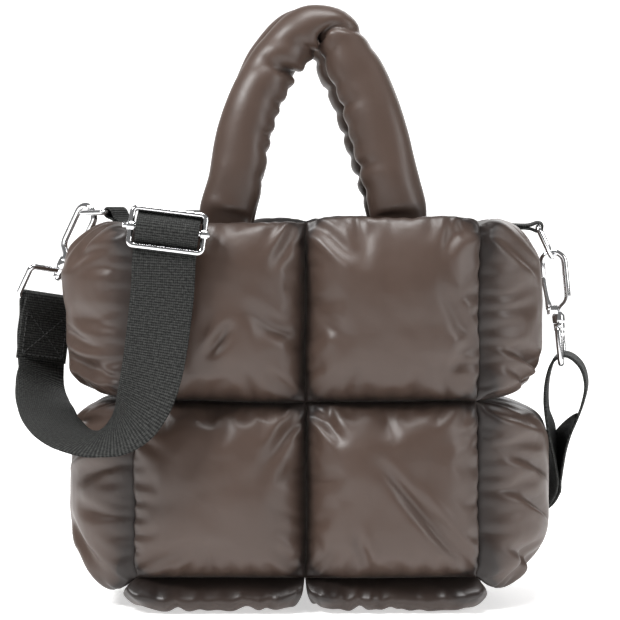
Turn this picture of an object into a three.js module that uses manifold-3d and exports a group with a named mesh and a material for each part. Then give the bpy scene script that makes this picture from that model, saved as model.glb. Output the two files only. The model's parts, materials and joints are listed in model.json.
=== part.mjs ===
// Quilted puffer tote bag: fourteen padded chambers round an open bag, two padded handles,
// and a webbing shoulder strap clipped to D rings by swivel snap hooks.
// Millimetres, +Z up, the front of the bag towards -Y, standing on its base at z = 0.
import * as THREE from 'three';
import { mergeVertices } from 'three/addons/utils/BufferGeometryUtils.js';
import Module from 'manifold-3d';

const wasm = await Module();
wasm.setup();

// Seams of the quilted body
const seamHalfWidth = 104;
const seamHalfDepth = 58;
const baseHeight = 20;
const lowerHeight = 108;
const upperHeight = 112;
const gussetDrop = 2;
const seamGap = 0.6;
const centreSeamShift = -1;

// How far the padding stands out of the seams
const frontSwell = 28;
const sideSwell = 47;
const baseOverhang = 8;
const liningSwell = 8;
const rimRise = 8;
const plateau = 0.82;
const frontFullness = 3.4;
const gussetFullness = 4;
const baseFullness = 6;
const puffCells = 11;

// Padded handles
const handleHalfSpan = 53;
const handleShift = 3;
const handleRise = 131;
const handleThick = 36;
const handleFootDepth = 34;
const handleFootThick = 7;
const handleLean = 20;
const backHandleSlip = -5;
const handleSides = 12;
const handleSteps = 26;

// Webbing
const strapWidth = 38;
const strapThick = 1.8;
const layerGap = 0.7;
const fitGap = 0.4;
const strapStandOff = 3;
const tabWidth = 17;
const tabThick = 1.4;
const sewnTail = 36;

// Metal fittings
const ringWire = 3.2;
const ringInnerWidth = 21;
const ringInnerHeight = 19;
const loopWire = 3.8;
const loopInnerWidth = 41;
const loopHeight = 22;
const hookWire = 4.2;
const hookReach = 50;
const hookHalfWidth = 7.2;
const hookTipAt = 32.5;
const postRadius = 1.7;
const knobRadius = 3.1;
const collarRadius = 4.1;
const bossRadius = 3.6;
const bossHalf = 2.3;
const hingeAt = 12.5;
const hingeOut = 5.4;
const hingePin = 0.8;
const gateThick = 3.2;
const gateWidth = 4.2;
const earThick = 1.1;
const runningGap = 0.3;
const sliderWire = 3.6;
const sliderInnerWidth = 40.4;
const sliderHalfHeight = 11.5;
const sliderBarWire = 3.4;
const wireSides = 8;
const frameCorner = 3;
const ringBarCorner = 2.5;
const ringBowCorner = 9.5;

const rimHeight = baseHeight + lowerHeight + upperHeight;
const midSeam = baseHeight + lowerHeight;
const outerHalfWidth = seamHalfWidth + sideSwell;
const outerHalfDepth = seamHalfDepth + frontSwell;
const layerPitch = strapThick + layerGap;

const X = new THREE.Vector3(1, 0, 0);
const Y = new THREE.Vector3(0, 1, 0);
const Z = new THREE.Vector3(0, 0, 1);
const v3 = (x, y, z) => new THREE.Vector3(x, y, z);

// Materials
const shell = new THREE.MeshStandardMaterial({ color: 0x62544d, roughness: 0.48, metalness: 0 });
const webbing = new THREE.MeshStandardMaterial({ color: 0x2a2b2a, roughness: 0.85, metalness: 0 });
const nickel = new THREE.MeshStandardMaterial({ color: 0xd2d2d4, roughness: 0.16, metalness: 1 });

// Panels that carry the puffs: where a panel starts, its sideways direction and its outward one
const panels = {
  front: { at: v3(0, -seamHalfDepth, 0), across: X, up: Z, out: v3(0, -1, 0) },
  back: { at: v3(0, seamHalfDepth, 0), across: X, up: Z, out: Y },
  left: { at: v3(-seamHalfWidth, 0, 0), across: Y, up: Z, out: v3(-1, 0, 0) },
  right: { at: v3(seamHalfWidth, 0, 0), across: Y, up: Z, out: X },
  base: { at: v3(0, 0, baseHeight), across: X, up: Y, out: v3(0, 0, -1) },
};

// A puff's rectangle on its panel: lowest and highest place across and up, from the seams
const columns = {
  left: [-seamHalfWidth, centreSeamShift],
  right: [centreSeamShift, seamHalfWidth],
  whole: [-seamHalfDepth, seamHalfDepth],
};
const levels = {
  lower: [baseHeight, midSeam],
  upper: [midSeam, rimHeight],
  gusset: [midSeam, rimHeight - gussetDrop],
  base: [-seamHalfDepth, seamHalfDepth],
};

// Puffs: swell as a share of the panel's swell; rise of the free top edge as a share of rimRise
const puffTable = [
  { name: 'front_upper_left', panel: 'front', column: 'left', level: 'upper', swell: 0.98, rise: 0.8 },
  { name: 'front_upper_right', panel: 'front', column: 'right', level: 'upper', swell: 1.0, rise: 1.0 },
  { name: 'front_lower_left', panel: 'front', column: 'left', level: 'lower', swell: 1.0, rise: 0 },
  { name: 'front_lower_right', panel: 'front', column: 'right', level: 'lower', swell: 1.0, rise: 0 },
  { name: 'back_upper_left', panel: 'back', column: 'left', level: 'upper', swell: 0.96, rise: 0.8 },
  { name: 'back_upper_right', panel: 'back', column: 'right', level: 'upper', swell: 0.96, rise: 0.9 },
  { name: 'back_lower_left', panel: 'back', column: 'left', level: 'lower', swell: 0.98, rise: 0 },
  { name: 'back_lower_right', panel: 'back', column: 'right', level: 'lower', swell: 0.98, rise: 0 },
  { name: 'side_left_upper', panel: 'left', column: 'whole', level: 'gusset', swell: 1.0, rise: 0.5 },
  { name: 'side_left_lower', panel: 'left', column: 'whole', level: 'lower', swell: 0.98, rise: 0 },
  { name: 'side_right_upper', panel: 'right', column: 'whole', level: 'gusset', swell: 0.95, rise: 0.5 },
  { name: 'side_right_lower', panel: 'right', column: 'whole', level: 'lower', swell: 1.06, rise: 0 },
  { name: 'base_left', panel: 'base', column: 'left', level: 'base', swell: 1.0, rise: 0 },
  { name: 'base_right', panel: 'base', column: 'right', level: 'base', swell: 1.0, rise: 0 },
];

// Folds pressed into a puff, from one place to another on it (-1 to 1 each way),
// depth as a share of the puff's swell and reach as a share of its half width
const foldTable = [
  { puff: 'front_lower_right', from: [-0.1, 0.1], to: [0.85, -0.95], depth: 0.16, reach: 0.13 },
  { puff: 'front_lower_right', from: [0.35, 0.25], to: [0.9, -0.75], depth: 0.13, reach: 0.12 },
  { puff: 'front_lower_right', from: [-0.4, -0.4], to: [-0.25, -0.95], depth: 0.1, reach: 0.12 },
  { puff: 'front_lower_left', from: [-0.9, -0.9], to: [-0.3, -0.55], depth: 0.12, reach: 0.14 },
  { puff: 'front_lower_left', from: [0.9, 0.9], to: [0.55, 0.3], depth: 0.1, reach: 0.14 },
  { puff: 'front_upper_right', from: [0.95, -0.5], to: [0.55, 0.35], depth: 0.14, reach: 0.15 },
  { puff: 'front_upper_right', from: [-0.95, 0.1], to: [-0.5, -0.2], depth: 0.1, reach: 0.13 },
  { puff: 'front_upper_left', from: [0.95, -0.3], to: [0.35, 0.05], depth: 0.13, reach: 0.14 },
  { puff: 'front_upper_left', from: [-0.62, 1], to: [-0.62, 0.2], depth: 0.22, reach: 0.42 },
  { puff: 'side_right_upper', from: [-1, -0.5], to: [-0.2, -0.75], depth: 0.16, reach: 0.16 },
  { puff: 'side_right_lower', from: [-0.9, 0.2], to: [-0.3, -0.5], depth: 0.12, reach: 0.16 },
  { puff: 'side_left_upper', from: [0.35, 1], to: [0.45, 0.1], depth: 0.24, reach: 0.4 },
  { puff: 'side_left_upper', from: [-0.9, -0.7], to: [-0.2, -0.5], depth: 0.13, reach: 0.15 },
  { puff: 'side_left_lower', from: [-0.9, 0.6], to: [-0.2, 0.3], depth: 0.12, reach: 0.16 },
  { puff: 'back_upper_left', from: [-0.7, 1], to: [-0.65, -0.6], depth: 0.16, reach: 0.4 },
  { puff: 'back_lower_right', from: [-0.6, -0.2], to: [0.6, -0.6], depth: 0.12, reach: 0.4 },
  { puff: 'back_lower_left', from: [0.9, -0.9], to: [0.3, -0.2], depth: 0.12, reach: 0.14 },
];

// Gathers along every seam: how many, and how deep as a share of the swell there
const gathers = 5;
const gatherDepth = 0.14;

function distanceToSegment(point, from, to) {
  const alongX = to[0] - from[0];
  const alongY = to[1] - from[1];
  const lengthSquared = alongX * alongX + alongY * alongY;
  const dot = (point[0] - from[0]) * alongX + (point[1] - from[1]) * alongY;
  const share = Math.min(1, Math.max(0, dot / lengthSquared));
  return Math.hypot(point[0] - from[0] - share * alongX, point[1] - from[1] - share * alongY);
}

// Height of a puff over its panel at (u, v), as a share of its swell
function puffHeight(puff, u, v) {
  const fullness = { front: frontFullness, back: frontFullness, base: baseFullness }[puff.panel]
    ?? gussetFullness;
  const edge = (s) => Math.max(0, 1 - Math.abs(s) ** fullness);
  let height = Math.sqrt(edge(u) * edge(v));
  if (puff.panel === 'base') return Math.min(1, height * 1.25);
  const ripple = (s) => 0.5 + 0.5 * Math.cos(gathers * Math.PI * s);
  height *= 1 - gatherDepth * (Math.abs(u) ** 5 * ripple(v) + Math.abs(v) ** 5 * ripple(u));
  for (const fold of foldTable.filter((row) => row.puff === puff.name)) {
    const distance = distanceToSegment([u, v], fold.from, fold.to);
    height *= 1 - fold.depth * Math.exp(-((distance / fold.reach) ** 2));
  }
  return height;
}

// How far a puff leans over each of its edges where no neighbour stands in the way
function overhang(puff) {
  const none = { left: 0, right: 0, top: 0, bottom: 0 };
  if (puff.panel !== 'base') return { ...none, top: rimRise * puff.rise };
  return { ...none, [puff.column]: baseOverhang, top: baseOverhang, bottom: baseOverhang };
}

function puffSwell(puff) {
  if (puff.panel === 'base') return baseHeight;
  const side = puff.panel === 'left' || puff.panel === 'right';
  return puff.swell * (side ? sideSwell : frontSwell);
}

function puffRect(puff) {
  const [low, high] = columns[puff.column];
  const [bottom, top] = levels[puff.level];
  const lift = puff.panel === 'base' ? 0 : seamGap / 2;
  return {
    halfWidth: (high - low - seamGap) / 2,
    halfHeight: (top - bottom - seamGap) / 2,
    middle: (low + high) / 2,
    centre: (top + bottom) / 2 + lift,
  };
}

// A point on a puff: u across and v up from -1 to 1, height as a share of its swell
function puffPoint(puff, u, v, height, sunk = 0) {
  const { at, across, up, out } = panels[puff.panel];
  const rect = puffRect(puff);
  const lean = overhang(puff);
  const leanNow = Math.sin(Math.PI * Math.min(height, 0.999)) * (sunk ? 0 : 1);
  const sideways = (u > 0 ? lean.right : -lean.left) * u ** 4 * leanNow;
  const upwards = (v > 0 ? lean.top : -lean.bottom) * v ** 4 * leanNow;
  return at.clone()
    .addScaledVector(across, rect.middle + u * rect.halfWidth + sideways)
    .addScaledVector(up, rect.centre + v * rect.halfHeight + upwards)
    .addScaledVector(out, height * puffSwell(puff) - sunk);
}

function geometryFrom(points, faces) {
  const flat = points.flatMap((p) => [p.x, p.y, p.z]);
  let volume = 0;
  for (const [a, b, c] of faces) {
    volume += points[a].dot(points[b].clone().cross(points[c]));
  }
  const outward = volume > 0 ? faces : faces.map(([a, b, c]) => [a, c, b]);
  const geometry = new THREE.BufferGeometry();
  geometry.setAttribute('position', new THREE.Float32BufferAttribute(flat, 3));
  geometry.setIndex(outward.flat());
  geometry.computeVertexNormals();
  return geometry;
}

// A puff: a crowned outer sheet over its rectangle and a flat lining side behind it
function puffGeometry(puff) {
  const points = [];
  const faces = [];
  const index = (i, j) => i * (puffCells + 1) + j;
  const place = (i) => Math.sin(((i / puffCells) * 2 - 1) * Math.PI / 2);
  for (let i = 0; i <= puffCells; i += 1) {
    for (let j = 0; j <= puffCells; j += 1) {
      const [u, v] = [place(i), place(j)];
      points.push(puffPoint(puff, u, v, puffHeight(puff, u, v)));
    }
  }
  for (let i = 0; i < puffCells; i += 1) {
    for (let j = 0; j < puffCells; j += 1) {
      const corners = [index(i, j), index(i + 1, j), index(i + 1, j + 1), index(i, j + 1)];
      faces.push([corners[0], corners[1], corners[2]], [corners[0], corners[2], corners[3]]);
    }
  }
  const border = [];
  for (let k = 0; k < puffCells; k += 1) border.push([k, 0]);
  for (let k = 0; k < puffCells; k += 1) border.push([puffCells, k]);
  for (let k = puffCells; k > 0; k -= 1) border.push([k, puffCells]);
  for (let k = puffCells; k > 0; k -= 1) border.push([0, k]);
  const sunk = puff.panel === 'base' ? seamGap / 4 : liningSwell;
  const inner = border.map(([i, j]) => {
    points.push(puffPoint(puff, place(i) * plateau, place(j) * plateau, 0, sunk));
    return points.length - 1;
  });
  points.push(puffPoint(puff, 0, 0, 0, sunk));
  const middle = points.length - 1;
  border.forEach(([i, j], k) => {
    const next = (k + 1) % border.length;
    const [a, b] = [index(i, j), index(...border[next])];
    faces.push([a, inner[next], b], [a, inner[k], inner[next]], [inner[k], middle, inner[next]]);
  });
  return geometryFrom(points, faces);
}

// A solid swept through stations: each has a centre, two directions and its half sizes
function sweep(stations, outline, closed = false) {
  const sides = outline.length;
  const points = [];
  const faces = [];
  for (const { centre, side, normal, half } of stations) {
    for (const [a, b] of outline) {
      points.push(centre.clone().addScaledVector(side, a * half[0]).addScaledVector(normal, b * half[1]));
    }
  }
  const rings = stations.length;
  for (let i = 0; i < (closed ? rings : rings - 1); i += 1) {
    const here = i * sides;
    const there = ((i + 1) % rings) * sides;
    for (let j = 0; j < sides; j += 1) {
      const k = (j + 1) % sides;
      faces.push([here + j, here + k, there + k], [here + j, there + k, there + j]);
    }
  }
  if (!closed) {
    for (let j = 1; j < sides - 1; j += 1) {
      const last = (rings - 1) * sides;
      faces.push([0, j + 1, j], [last, last + j, last + j + 1]);
    }
  }
  return geometryFrom(points, faces);
}

const circleOutline = (sides) => Array.from({ length: sides }, (_, k) => {
  const angle = ((k + 0.5) / sides) * 2 * Math.PI;
  return [Math.cos(angle), Math.sin(angle)];
});
const bandOutline = [[-1, -1], [1, -1], [1, 1], [-1, 1]];

// Directions across a path at a point: side is kept square to the way the path runs
function station(centre, tangent, sideHint, half) {
  const side = sideHint.clone().addScaledVector(tangent, -sideHint.dot(tangent)).normalize();
  return { centre, side, normal: tangent.clone().cross(side).normalize(), half };
}

// Stations along a smooth path through points, with the side direction carried along it
function pathStations(points, sides, half, steps) {
  const path = new THREE.CatmullRomCurve3(points, false, 'centripetal');
  const last = points.length - 1;
  return Array.from({ length: steps + 1 }, (_, i) => {
    const t = i / steps;
    const k = Math.min(last - 1, Math.floor(t * last));
    const hint = sides[k].clone().lerp(sides[k + 1], t * last - k);
    return station(path.getPoint(t), path.getTangent(t), hint, half);
  });
}

// A handle's route: across as a share of handleHalfSpan, rise of handleRise, lean of handleLean
const handleRoute = [
  { across: -1.0, rise: 0.06, lean: 0.0 },
  { across: -0.89, rise: 0.25, lean: 0.2 },
  { across: -0.78, rise: 0.47, lean: 0.45 },
  { across: -0.66, rise: 0.66, lean: 0.65 },
  { across: -0.42, rise: 0.87, lean: 0.9 },
  { across: -0.14, rise: 0.985, lean: 1.0 },
  { across: 0.16, rise: 1.0, lean: 1.0 },
  { across: 0.37, rise: 0.925, lean: 0.95 },
  { across: 0.575, rise: 0.73, lean: 0.75 },
  { across: 0.71, rise: 0.567, lean: 0.55 },
  { across: 0.84, rise: 0.385, lean: 0.35 },
  { across: 0.95, rise: 0.214, lean: 0.15 },
  { across: 1.0, rise: 0.06, lean: 0.0 },
];
// Sections along it: how far along, width and depth as shares of handleThick
const handleSections = [
  { along: 0, width: 0.8, depth: handleFootThick / handleThick },
  { along: 0.065, width: 0.84, depth: handleFootThick / handleThick },
  { along: 0.13, width: 0.95, depth: 0.82 },
  { along: 0.2, width: 1.0, depth: 0.95 },
  { along: 0.42, width: 1.0, depth: 0.95 },
  { along: 0.49, width: 0.92, depth: 0.9 },
  { along: 0.525, width: 0.74, depth: 0.82 },
  { along: 0.56, width: 0.94, depth: 0.9 },
  { along: 0.62, width: 1.0, depth: 0.95 },
  { along: 0.8, width: 1.02, depth: 0.95 },
  { along: 0.87, width: 0.98, depth: 0.82 },
  { along: 0.935, width: 0.86, depth: handleFootThick / handleThick },
  { along: 1, width: 0.8, depth: handleFootThick / handleThick },
];

function valueAt(rows, along, key) {
  const next = Math.max(1, rows.findIndex((row) => row.along >= along));
  const [a, b] = [rows[next - 1], rows[next]];
  return a[key] + ((along - a.along) / (b.along - a.along)) * (b[key] - a[key]);
}

// A handle behind the panel on one side: its feet lie flat on that panel's lining side
function handleGeometry(front, slip) {
  const towards = front ? 1 : -1;
  const footY = towards * (-seamHalfDepth + liningSwell + 2 * fitGap + handleFootThick / 2);
  const legY = towards * (-seamHalfDepth + fitGap + handleThick / 2);
  const foot = (across, rise) => v3(handleShift + across * handleHalfSpan, footY, rimHeight + rise);
  const lift = handleFootDepth * 0.3;
  const points = [
    foot(-1, -handleFootDepth),
    foot(-1, -lift),
    ...handleRoute.map((row) => v3(
      handleShift + row.across * handleHalfSpan + slip * row.lean,
      legY + towards * row.lean * handleLean,
      rimHeight + row.rise * handleRise,
    )),
    foot(1, -lift),
    foot(1, -handleFootDepth),
  ];
  const path = new THREE.CatmullRomCurve3(points, false, 'centripetal');
  const stations = Array.from({ length: handleSteps + 1 }, (_, i) => {
    const along = i / handleSteps;
    const half = [
      valueAt(handleSections, along, 'depth') * handleThick / 2,
      valueAt(handleSections, along, 'width') * handleThick / 2,
    ];
    return station(path.getPointAt(along), path.getTangentAt(along), Y, half);
  });
  return sweep(stations, circleOutline(handleSides));
}

// A closed wire loop round a rounded rectangle in its own XZ plane, centred on the origin
function wireFrame(halfWidth, halfHeight, topRadius, bottomRadius, wire) {
  const cornerSteps = 3;
  const stations = [];
  const corners = [[1, 1, 0], [-1, 1, 1], [-1, -1, 2], [1, -1, 3]];
  for (const [sx, sz, quarter] of corners) {
    const radius = sz > 0 ? topRadius : bottomRadius;
    for (let k = 0; k <= cornerSteps; k += 1) {
      const angle = (quarter + k / cornerSteps) * Math.PI / 2;
      const outward = v3(Math.cos(angle), 0, Math.sin(angle));
      const centre = v3(sx * (halfWidth - radius), 0, sz * (halfHeight - radius))
        .addScaledVector(outward, radius);
      stations.push({ centre, side: outward, normal: Y, half: [wire / 2, wire / 2] });
    }
  }
  return sweep(stations, circleOutline(wireSides), true);
}

// Solids for joins and cuts
function solidOf(geometry) {
  const bare = geometry.clone();
  bare.deleteAttribute('normal');
  bare.deleteAttribute('uv');
  const merged = mergeVertices(bare, 1e-4);
  return new wasm.Manifold(new wasm.Mesh({
    numProp: 3,
    vertProperties: new Float32Array(merged.attributes.position.array),
    triVerts: new Uint32Array(merged.index.array),
  }));
}

function geometryOf(solid) {
  const mesh = solid.getMesh();
  const geometry = new THREE.BufferGeometry();
  geometry.setAttribute('position', new THREE.BufferAttribute(new Float32Array(mesh.vertProperties), 3));
  geometry.setIndex(new THREE.BufferAttribute(new Uint32Array(mesh.triVerts), 1));
  geometry.computeVertexNormals();
  return geometry;
}

// A turned piece about Z from rows of radius and height, starting and ending on the axis
function turned(rows, sides = 10) {
  const profile = rows.map(([radius, height]) => new THREE.Vector2(radius, height));
  const geometry = new THREE.LatheGeometry(profile, sides);
  geometry.rotateX(Math.PI / 2);
  return geometry;
}

// A round pin along Y, centred at (x, z)
function pinAlongY(radius, length, x, z, sides = 10) {
  const geometry = new THREE.CylinderGeometry(radius, radius, length, sides);
  geometry.translate(x, 0, z);
  return geometry;
}

// Snap hook in its own frame: swivel centre at the origin, stem up Z, gate on the +X side
const hookBend = hookReach - hookWire / 2;
function hookGeometry() {
  const stem = solidOf(turned([
    [0, -bossHalf - runningGap - 4],
    [knobRadius * 0.7, -bossHalf - runningGap - 4],
    [knobRadius, -bossHalf - runningGap - 2.4],
    [knobRadius, -bossHalf - runningGap],
    [postRadius, -bossHalf - runningGap],
    [postRadius, bossHalf + runningGap],
    [collarRadius, bossHalf + runningGap],
    [collarRadius, bossHalf + runningGap + 4.5],
    [collarRadius * 0.6, bossHalf + runningGap + 7],
    [0, bossHalf + runningGap + 7],
  ]));
  const bend = [
    v3(0, 0, bossHalf + runningGap + 4),
    v3(-hookHalfWidth * 0.55, 0, 12.5),
    v3(-hookHalfWidth * 0.98, 0, 20),
    v3(-hookHalfWidth, 0, 30),
    v3(-hookHalfWidth * 0.97, 0, hookBend - hookHalfWidth),
    v3(-hookHalfWidth * 0.68, 0, hookBend - hookHalfWidth * 0.28),
    v3(0, 0, hookBend),
    v3(hookHalfWidth * 0.68, 0, hookBend - hookHalfWidth * 0.28),
    v3(hookHalfWidth, 0, hookBend - hookHalfWidth),
    v3(hookHalfWidth * 1.02, 0, hookTipAt + runningGap),
  ];
  const half = [hookWire / 2, hookWire / 2];
  const wire = solidOf(sweep(
    pathStations(bend, bend.map(() => Y), half, 20),
    circleOutline(wireSides),
  ));
  const earY = gateWidth / 2 + runningGap + earThick / 2;
  const ears = [-earY, earY].map((y) => {
    const ear = new THREE.BoxGeometry(hingeOut + 1.6, earThick, 5.4);
    ear.translate((hingeOut + 1.6) / 2 - 0.2, y, hingeAt - 1.2);
    return solidOf(ear);
  });
  const bridge = new THREE.BoxGeometry(collarRadius * 1.4, 2 * earY, 3);
  bridge.translate(0.2, 0, bossHalf + runningGap + 5.4);
  const pin = solidOf(pinAlongY(hingePin, 2 * earY, hingeOut, hingeAt));
  return geometryOf(stem.add(wire).add(ears[0]).add(ears[1]).add(solidOf(bridge)).add(pin));
}

// The gate: a lever with a barrel on the hinge pin, closing against the hook's tip
function gateGeometry() {
  const barrel = gateThick * 0.62;
  const tipX = hookHalfWidth * 1.02;
  const shape = new THREE.Shape();
  shape.moveTo(hingeOut + barrel, hingeAt);
  shape.lineTo(tipX + gateThick / 2, hookTipAt - 4);
  shape.lineTo(tipX + gateThick / 2 - 0.4, hookTipAt);
  shape.lineTo(tipX - gateThick / 2 + 0.4, hookTipAt);
  shape.lineTo(hingeOut - barrel, hingeAt);
  shape.absarc(hingeOut, hingeAt, barrel, Math.PI, 2 * Math.PI, false);
  const hole = new THREE.Path();
  hole.absarc(hingeOut, hingeAt, hingePin + runningGap, 0, 2 * Math.PI, true);
  shape.holes.push(hole);
  const geometry = new THREE.ExtrudeGeometry(shape, {
    depth: gateWidth,
    bevelEnabled: false,
    curveSegments: 5,
  });
  geometry.rotateX(Math.PI / 2);
  geometry.translate(0, gateWidth / 2, 0);
  return geometry;
}

// The swivel loop: a wire frame under a boss that turns on the hook's post
function loopGeometry() {
  const halfWidth = (loopInnerWidth + loopWire) / 2;
  const frame = wireFrame(halfWidth, loopHeight / 2, frameCorner, frameCorner, loopWire);
  frame.translate(0, 0, -loopHeight / 2);
  const boss = turned([
    [0, -bossHalf],
    [bossRadius, -bossHalf],
    [bossRadius, bossHalf],
    [0, bossHalf],
  ]);
  const bore = turned([
    [0, -bossHalf - 1],
    [postRadius + runningGap, -bossHalf - 1],
    [postRadius + runningGap, bossHalf + 1],
    [0, bossHalf + 1],
  ]);
  return geometryOf(solidOf(frame).add(solidOf(boss)).subtract(solidOf(bore)));
}

// Adds a named mesh to a group
function addMesh(group, name, geometry, material) {
  const mesh = new THREE.Mesh(geometry, material);
  mesh.name = name;
  group.add(mesh);
  return mesh;
}

const bag = new THREE.Group();

for (const puff of puffTable) {
  addMesh(bag, puff.name, puffGeometry(puff), shell);
}
addMesh(bag, 'front_handle', handleGeometry(true, 0), shell);
addMesh(bag, 'back_handle', handleGeometry(false, backHandleSlip), shell);

// Where each hook's swivel sits, the way its stem points, and the way its gate and loop face
const leftStandOff = 7.5;
const rightStandOff = 10;
const fittings = {
  left: {
    pivot: v3(-outerHalfWidth - leftStandOff, seamHalfDepth * 0.38, rimHeight * 0.86),
    stem: v3(0.425, -0.315, 0.85).normalize(),
    gateSide: v3(0.68, -0.5, -0.53),
    loopSide: v3(0.763, 0.628, -0.149),
  },
  right: {
    pivot: v3(outerHalfWidth + rightStandOff, seamHalfDepth * 0.14, rimHeight * 0.7125),
    stem: v3(-0.1, 0, 0.995).normalize(),
    gateSide: v3(-1, 0.12, 0),
    loopSide: v3(0.143, 0.99, 0.013),
  },
};

function placeWithAxes(group, origin, xAxis, zAxis) {
  const z = zAxis.clone().normalize();
  const x = xAxis.clone().addScaledVector(z, -xAxis.dot(z)).normalize();
  const y = z.clone().cross(x);
  group.quaternion.setFromRotationMatrix(new THREE.Matrix4().makeBasis(x, y, z));
  group.position.copy(origin);
}

const squareTo = (hint, axis) => hint.clone().addScaledVector(axis, -hint.dot(axis)).normalize();

for (const [side, fitting] of Object.entries(fittings)) {
  const hook = new THREE.Group();
  placeWithAxes(hook, fitting.pivot, fitting.gateSide, fitting.stem);
  addMesh(hook, `hook_${side}`, hookGeometry(), nickel);
  addMesh(hook, `gate_${side}`, gateGeometry(), nickel);
  bag.add(hook);
  const loop = new THREE.Group();
  placeWithAxes(loop, fitting.pivot, fitting.loopSide, fitting.stem);
  addMesh(loop, `loop_${side}`, loopGeometry(), nickel);
  bag.add(loop);
}

// D rings: the hooked end lies inside the hook's bend, the straight bar in the tab
const ringHalfHeight = (ringInnerHeight + ringWire) / 2;
const hookedAt = hookReach - hookWire - runningGap - ringWire / 2;
const ringPull = {
  left: v3(0.84, -0.54, 0.02).normalize(),
  right: v3(-0.42, 0, 0.9).normalize(),
};
const ringBars = {};
for (const [side, fitting] of Object.entries(fittings)) {
  const hooked = fitting.pivot.clone().addScaledVector(fitting.stem, hookedAt);
  const hookPlane = squareTo(fitting.gateSide, fitting.stem);
  const barWay = squareTo(fitting.stem.clone().cross(hookPlane), ringPull[side]);
  const ring = new THREE.Group();
  placeWithAxes(ring, hooked.clone().addScaledVector(ringPull[side], ringHalfHeight), barWay, ringPull[side]);
  const halfWidth = (ringInnerWidth + ringWire) / 2;
  const geometry = wireFrame(halfWidth, ringHalfHeight, ringBarCorner, ringBowCorner, ringWire);
  addMesh(ring, `ring_${side}`, geometry, nickel);
  bag.add(ring);
  ringBars[side] = {
    centre: hooked.clone().addScaledVector(ringPull[side], 2 * ringHalfHeight),
    way: barWay,
    slope: ringPull[side].y / ringPull[side].x,
  };
}

// Webbing tabs: sewn flat inside the mouth, up over the gusset's rim, round the ring's bar and back
const tabInside = 20;
const tabPitch = tabThick + layerGap;
function tabGeometry(side) {
  const sign = side === 'left' ? -1 : 1;
  const bar = ringBars[side];
  const turn = ringWire / 2 + fitGap + tabThick / 2;
  const gussetRim = rimHeight - gussetDrop;
  const inside = seamHalfWidth - liningSwell - fitGap - tabThick / 2 - tabPitch / 2;
  const overRim = gussetRim + rimRise / 2;
  const inLine = (x, z) => v3(sign * x, bar.centre.y + (sign * x - bar.centre.x) * bar.slope, z);
  const shoulder = inLine(seamHalfWidth + rimRise, overRim + tabPitch);
  const away = bar.centre.clone().sub(shoulder).normalize();
  const over = squareTo(Z, away);
  const route = [
    inLine(inside, gussetRim - tabInside),
    inLine(inside, gussetRim - tabInside / 2),
    inLine(seamHalfWidth - rimRise / 2, overRim),
    shoulder,
    bar.centre.clone().addScaledVector(away, -turn * 2.2),
  ];
  const half = [tabWidth / 2, tabThick / 2];
  const way = bar.way.clone().multiplyScalar(Math.sign(bar.way.y));
  const ways = [Y, Y, Y, way, way];
  const pair = pathStations(route, ways, half, 8);
  const layer = (shift) => pair.map(({ centre, normal }) => centre.clone().addScaledVector(normal, shift));
  const roundBar = [[-0.2, -1], [0.75, -0.72], [1.03, 0], [0.75, 0.72], [-0.2, 1]].map(
    ([along, up]) => bar.centre.clone()
      .addScaledVector(away, along * turn)
      .addScaledVector(over, up * turn),
  );
  const lower = -Math.sign(pair.at(-1).normal.z) * tabPitch / 2;
  const points = [...layer(lower), ...roundBar, ...layer(-lower).reverse()];
  const pairWays = pair.map(({ side: across }) => across);
  const allWays = [...pairWays, ...roundBar.map(() => way), ...[...pairWays].reverse()];
  return sweep(pathStations(points, allWays, half, points.length + 4), bandOutline);
}
addMesh(bag, 'tab_left', tabGeometry('left'), webbing);
addMesh(bag, 'tab_right', tabGeometry('right'), webbing);

// Slider: a wire frame with a bar across it, on the front of the upper left puff
const sliderCentre = v3(
  -seamHalfWidth * 0.79,
  -outerHalfDepth - strapStandOff - layerPitch - 2,
  rimHeight - 2,
);
const sliderUp = v3(0.12, 0.2, 0.97).normalize();
const sliderAlong = squareTo(v3(0.99, 0, -0.14), sliderUp);
const sliderOut = sliderAlong.clone().cross(sliderUp).normalize();
const slider = new THREE.Group();
placeWithAxes(slider, sliderCentre, sliderAlong, sliderUp);
const sliderHalfWidth = (sliderInnerWidth + sliderWire) / 2;
const frameSolid = solidOf(
  wireFrame(sliderHalfWidth, sliderHalfHeight, frameCorner, frameCorner, sliderWire),
);
const barBore = new THREE.CylinderGeometry(
  sliderBarWire / 2 + runningGap,
  sliderBarWire / 2 + runningGap,
  2 * sliderHalfWidth + 3 * sliderWire,
  10,
);
barBore.rotateZ(Math.PI / 2);
const collars = [-1, 1].map((end) => {
  const collar = new THREE.CylinderGeometry(sliderBarWire * 0.9, sliderBarWire * 0.9, sliderWire + 1, 12);
  collar.rotateZ(Math.PI / 2);
  collar.translate(end * sliderHalfWidth, 0, 0);
  return solidOf(collar);
});
const collared = frameSolid.add(collars[0]).add(collars[1]).subtract(solidOf(barBore));
addMesh(slider, 'slider_frame', geometryOf(collared), nickel);
const sliderBar = new THREE.CylinderGeometry(
  sliderBarWire / 2,
  sliderBarWire / 2,
  2 * sliderHalfWidth + sliderWire + 5,
  10,
);
sliderBar.rotateZ(Math.PI / 2);
sliderBar.translate(-0.8, 0, 0);
addMesh(slider, 'slider_bar', sliderBar, nickel);
bag.add(slider);

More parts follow.
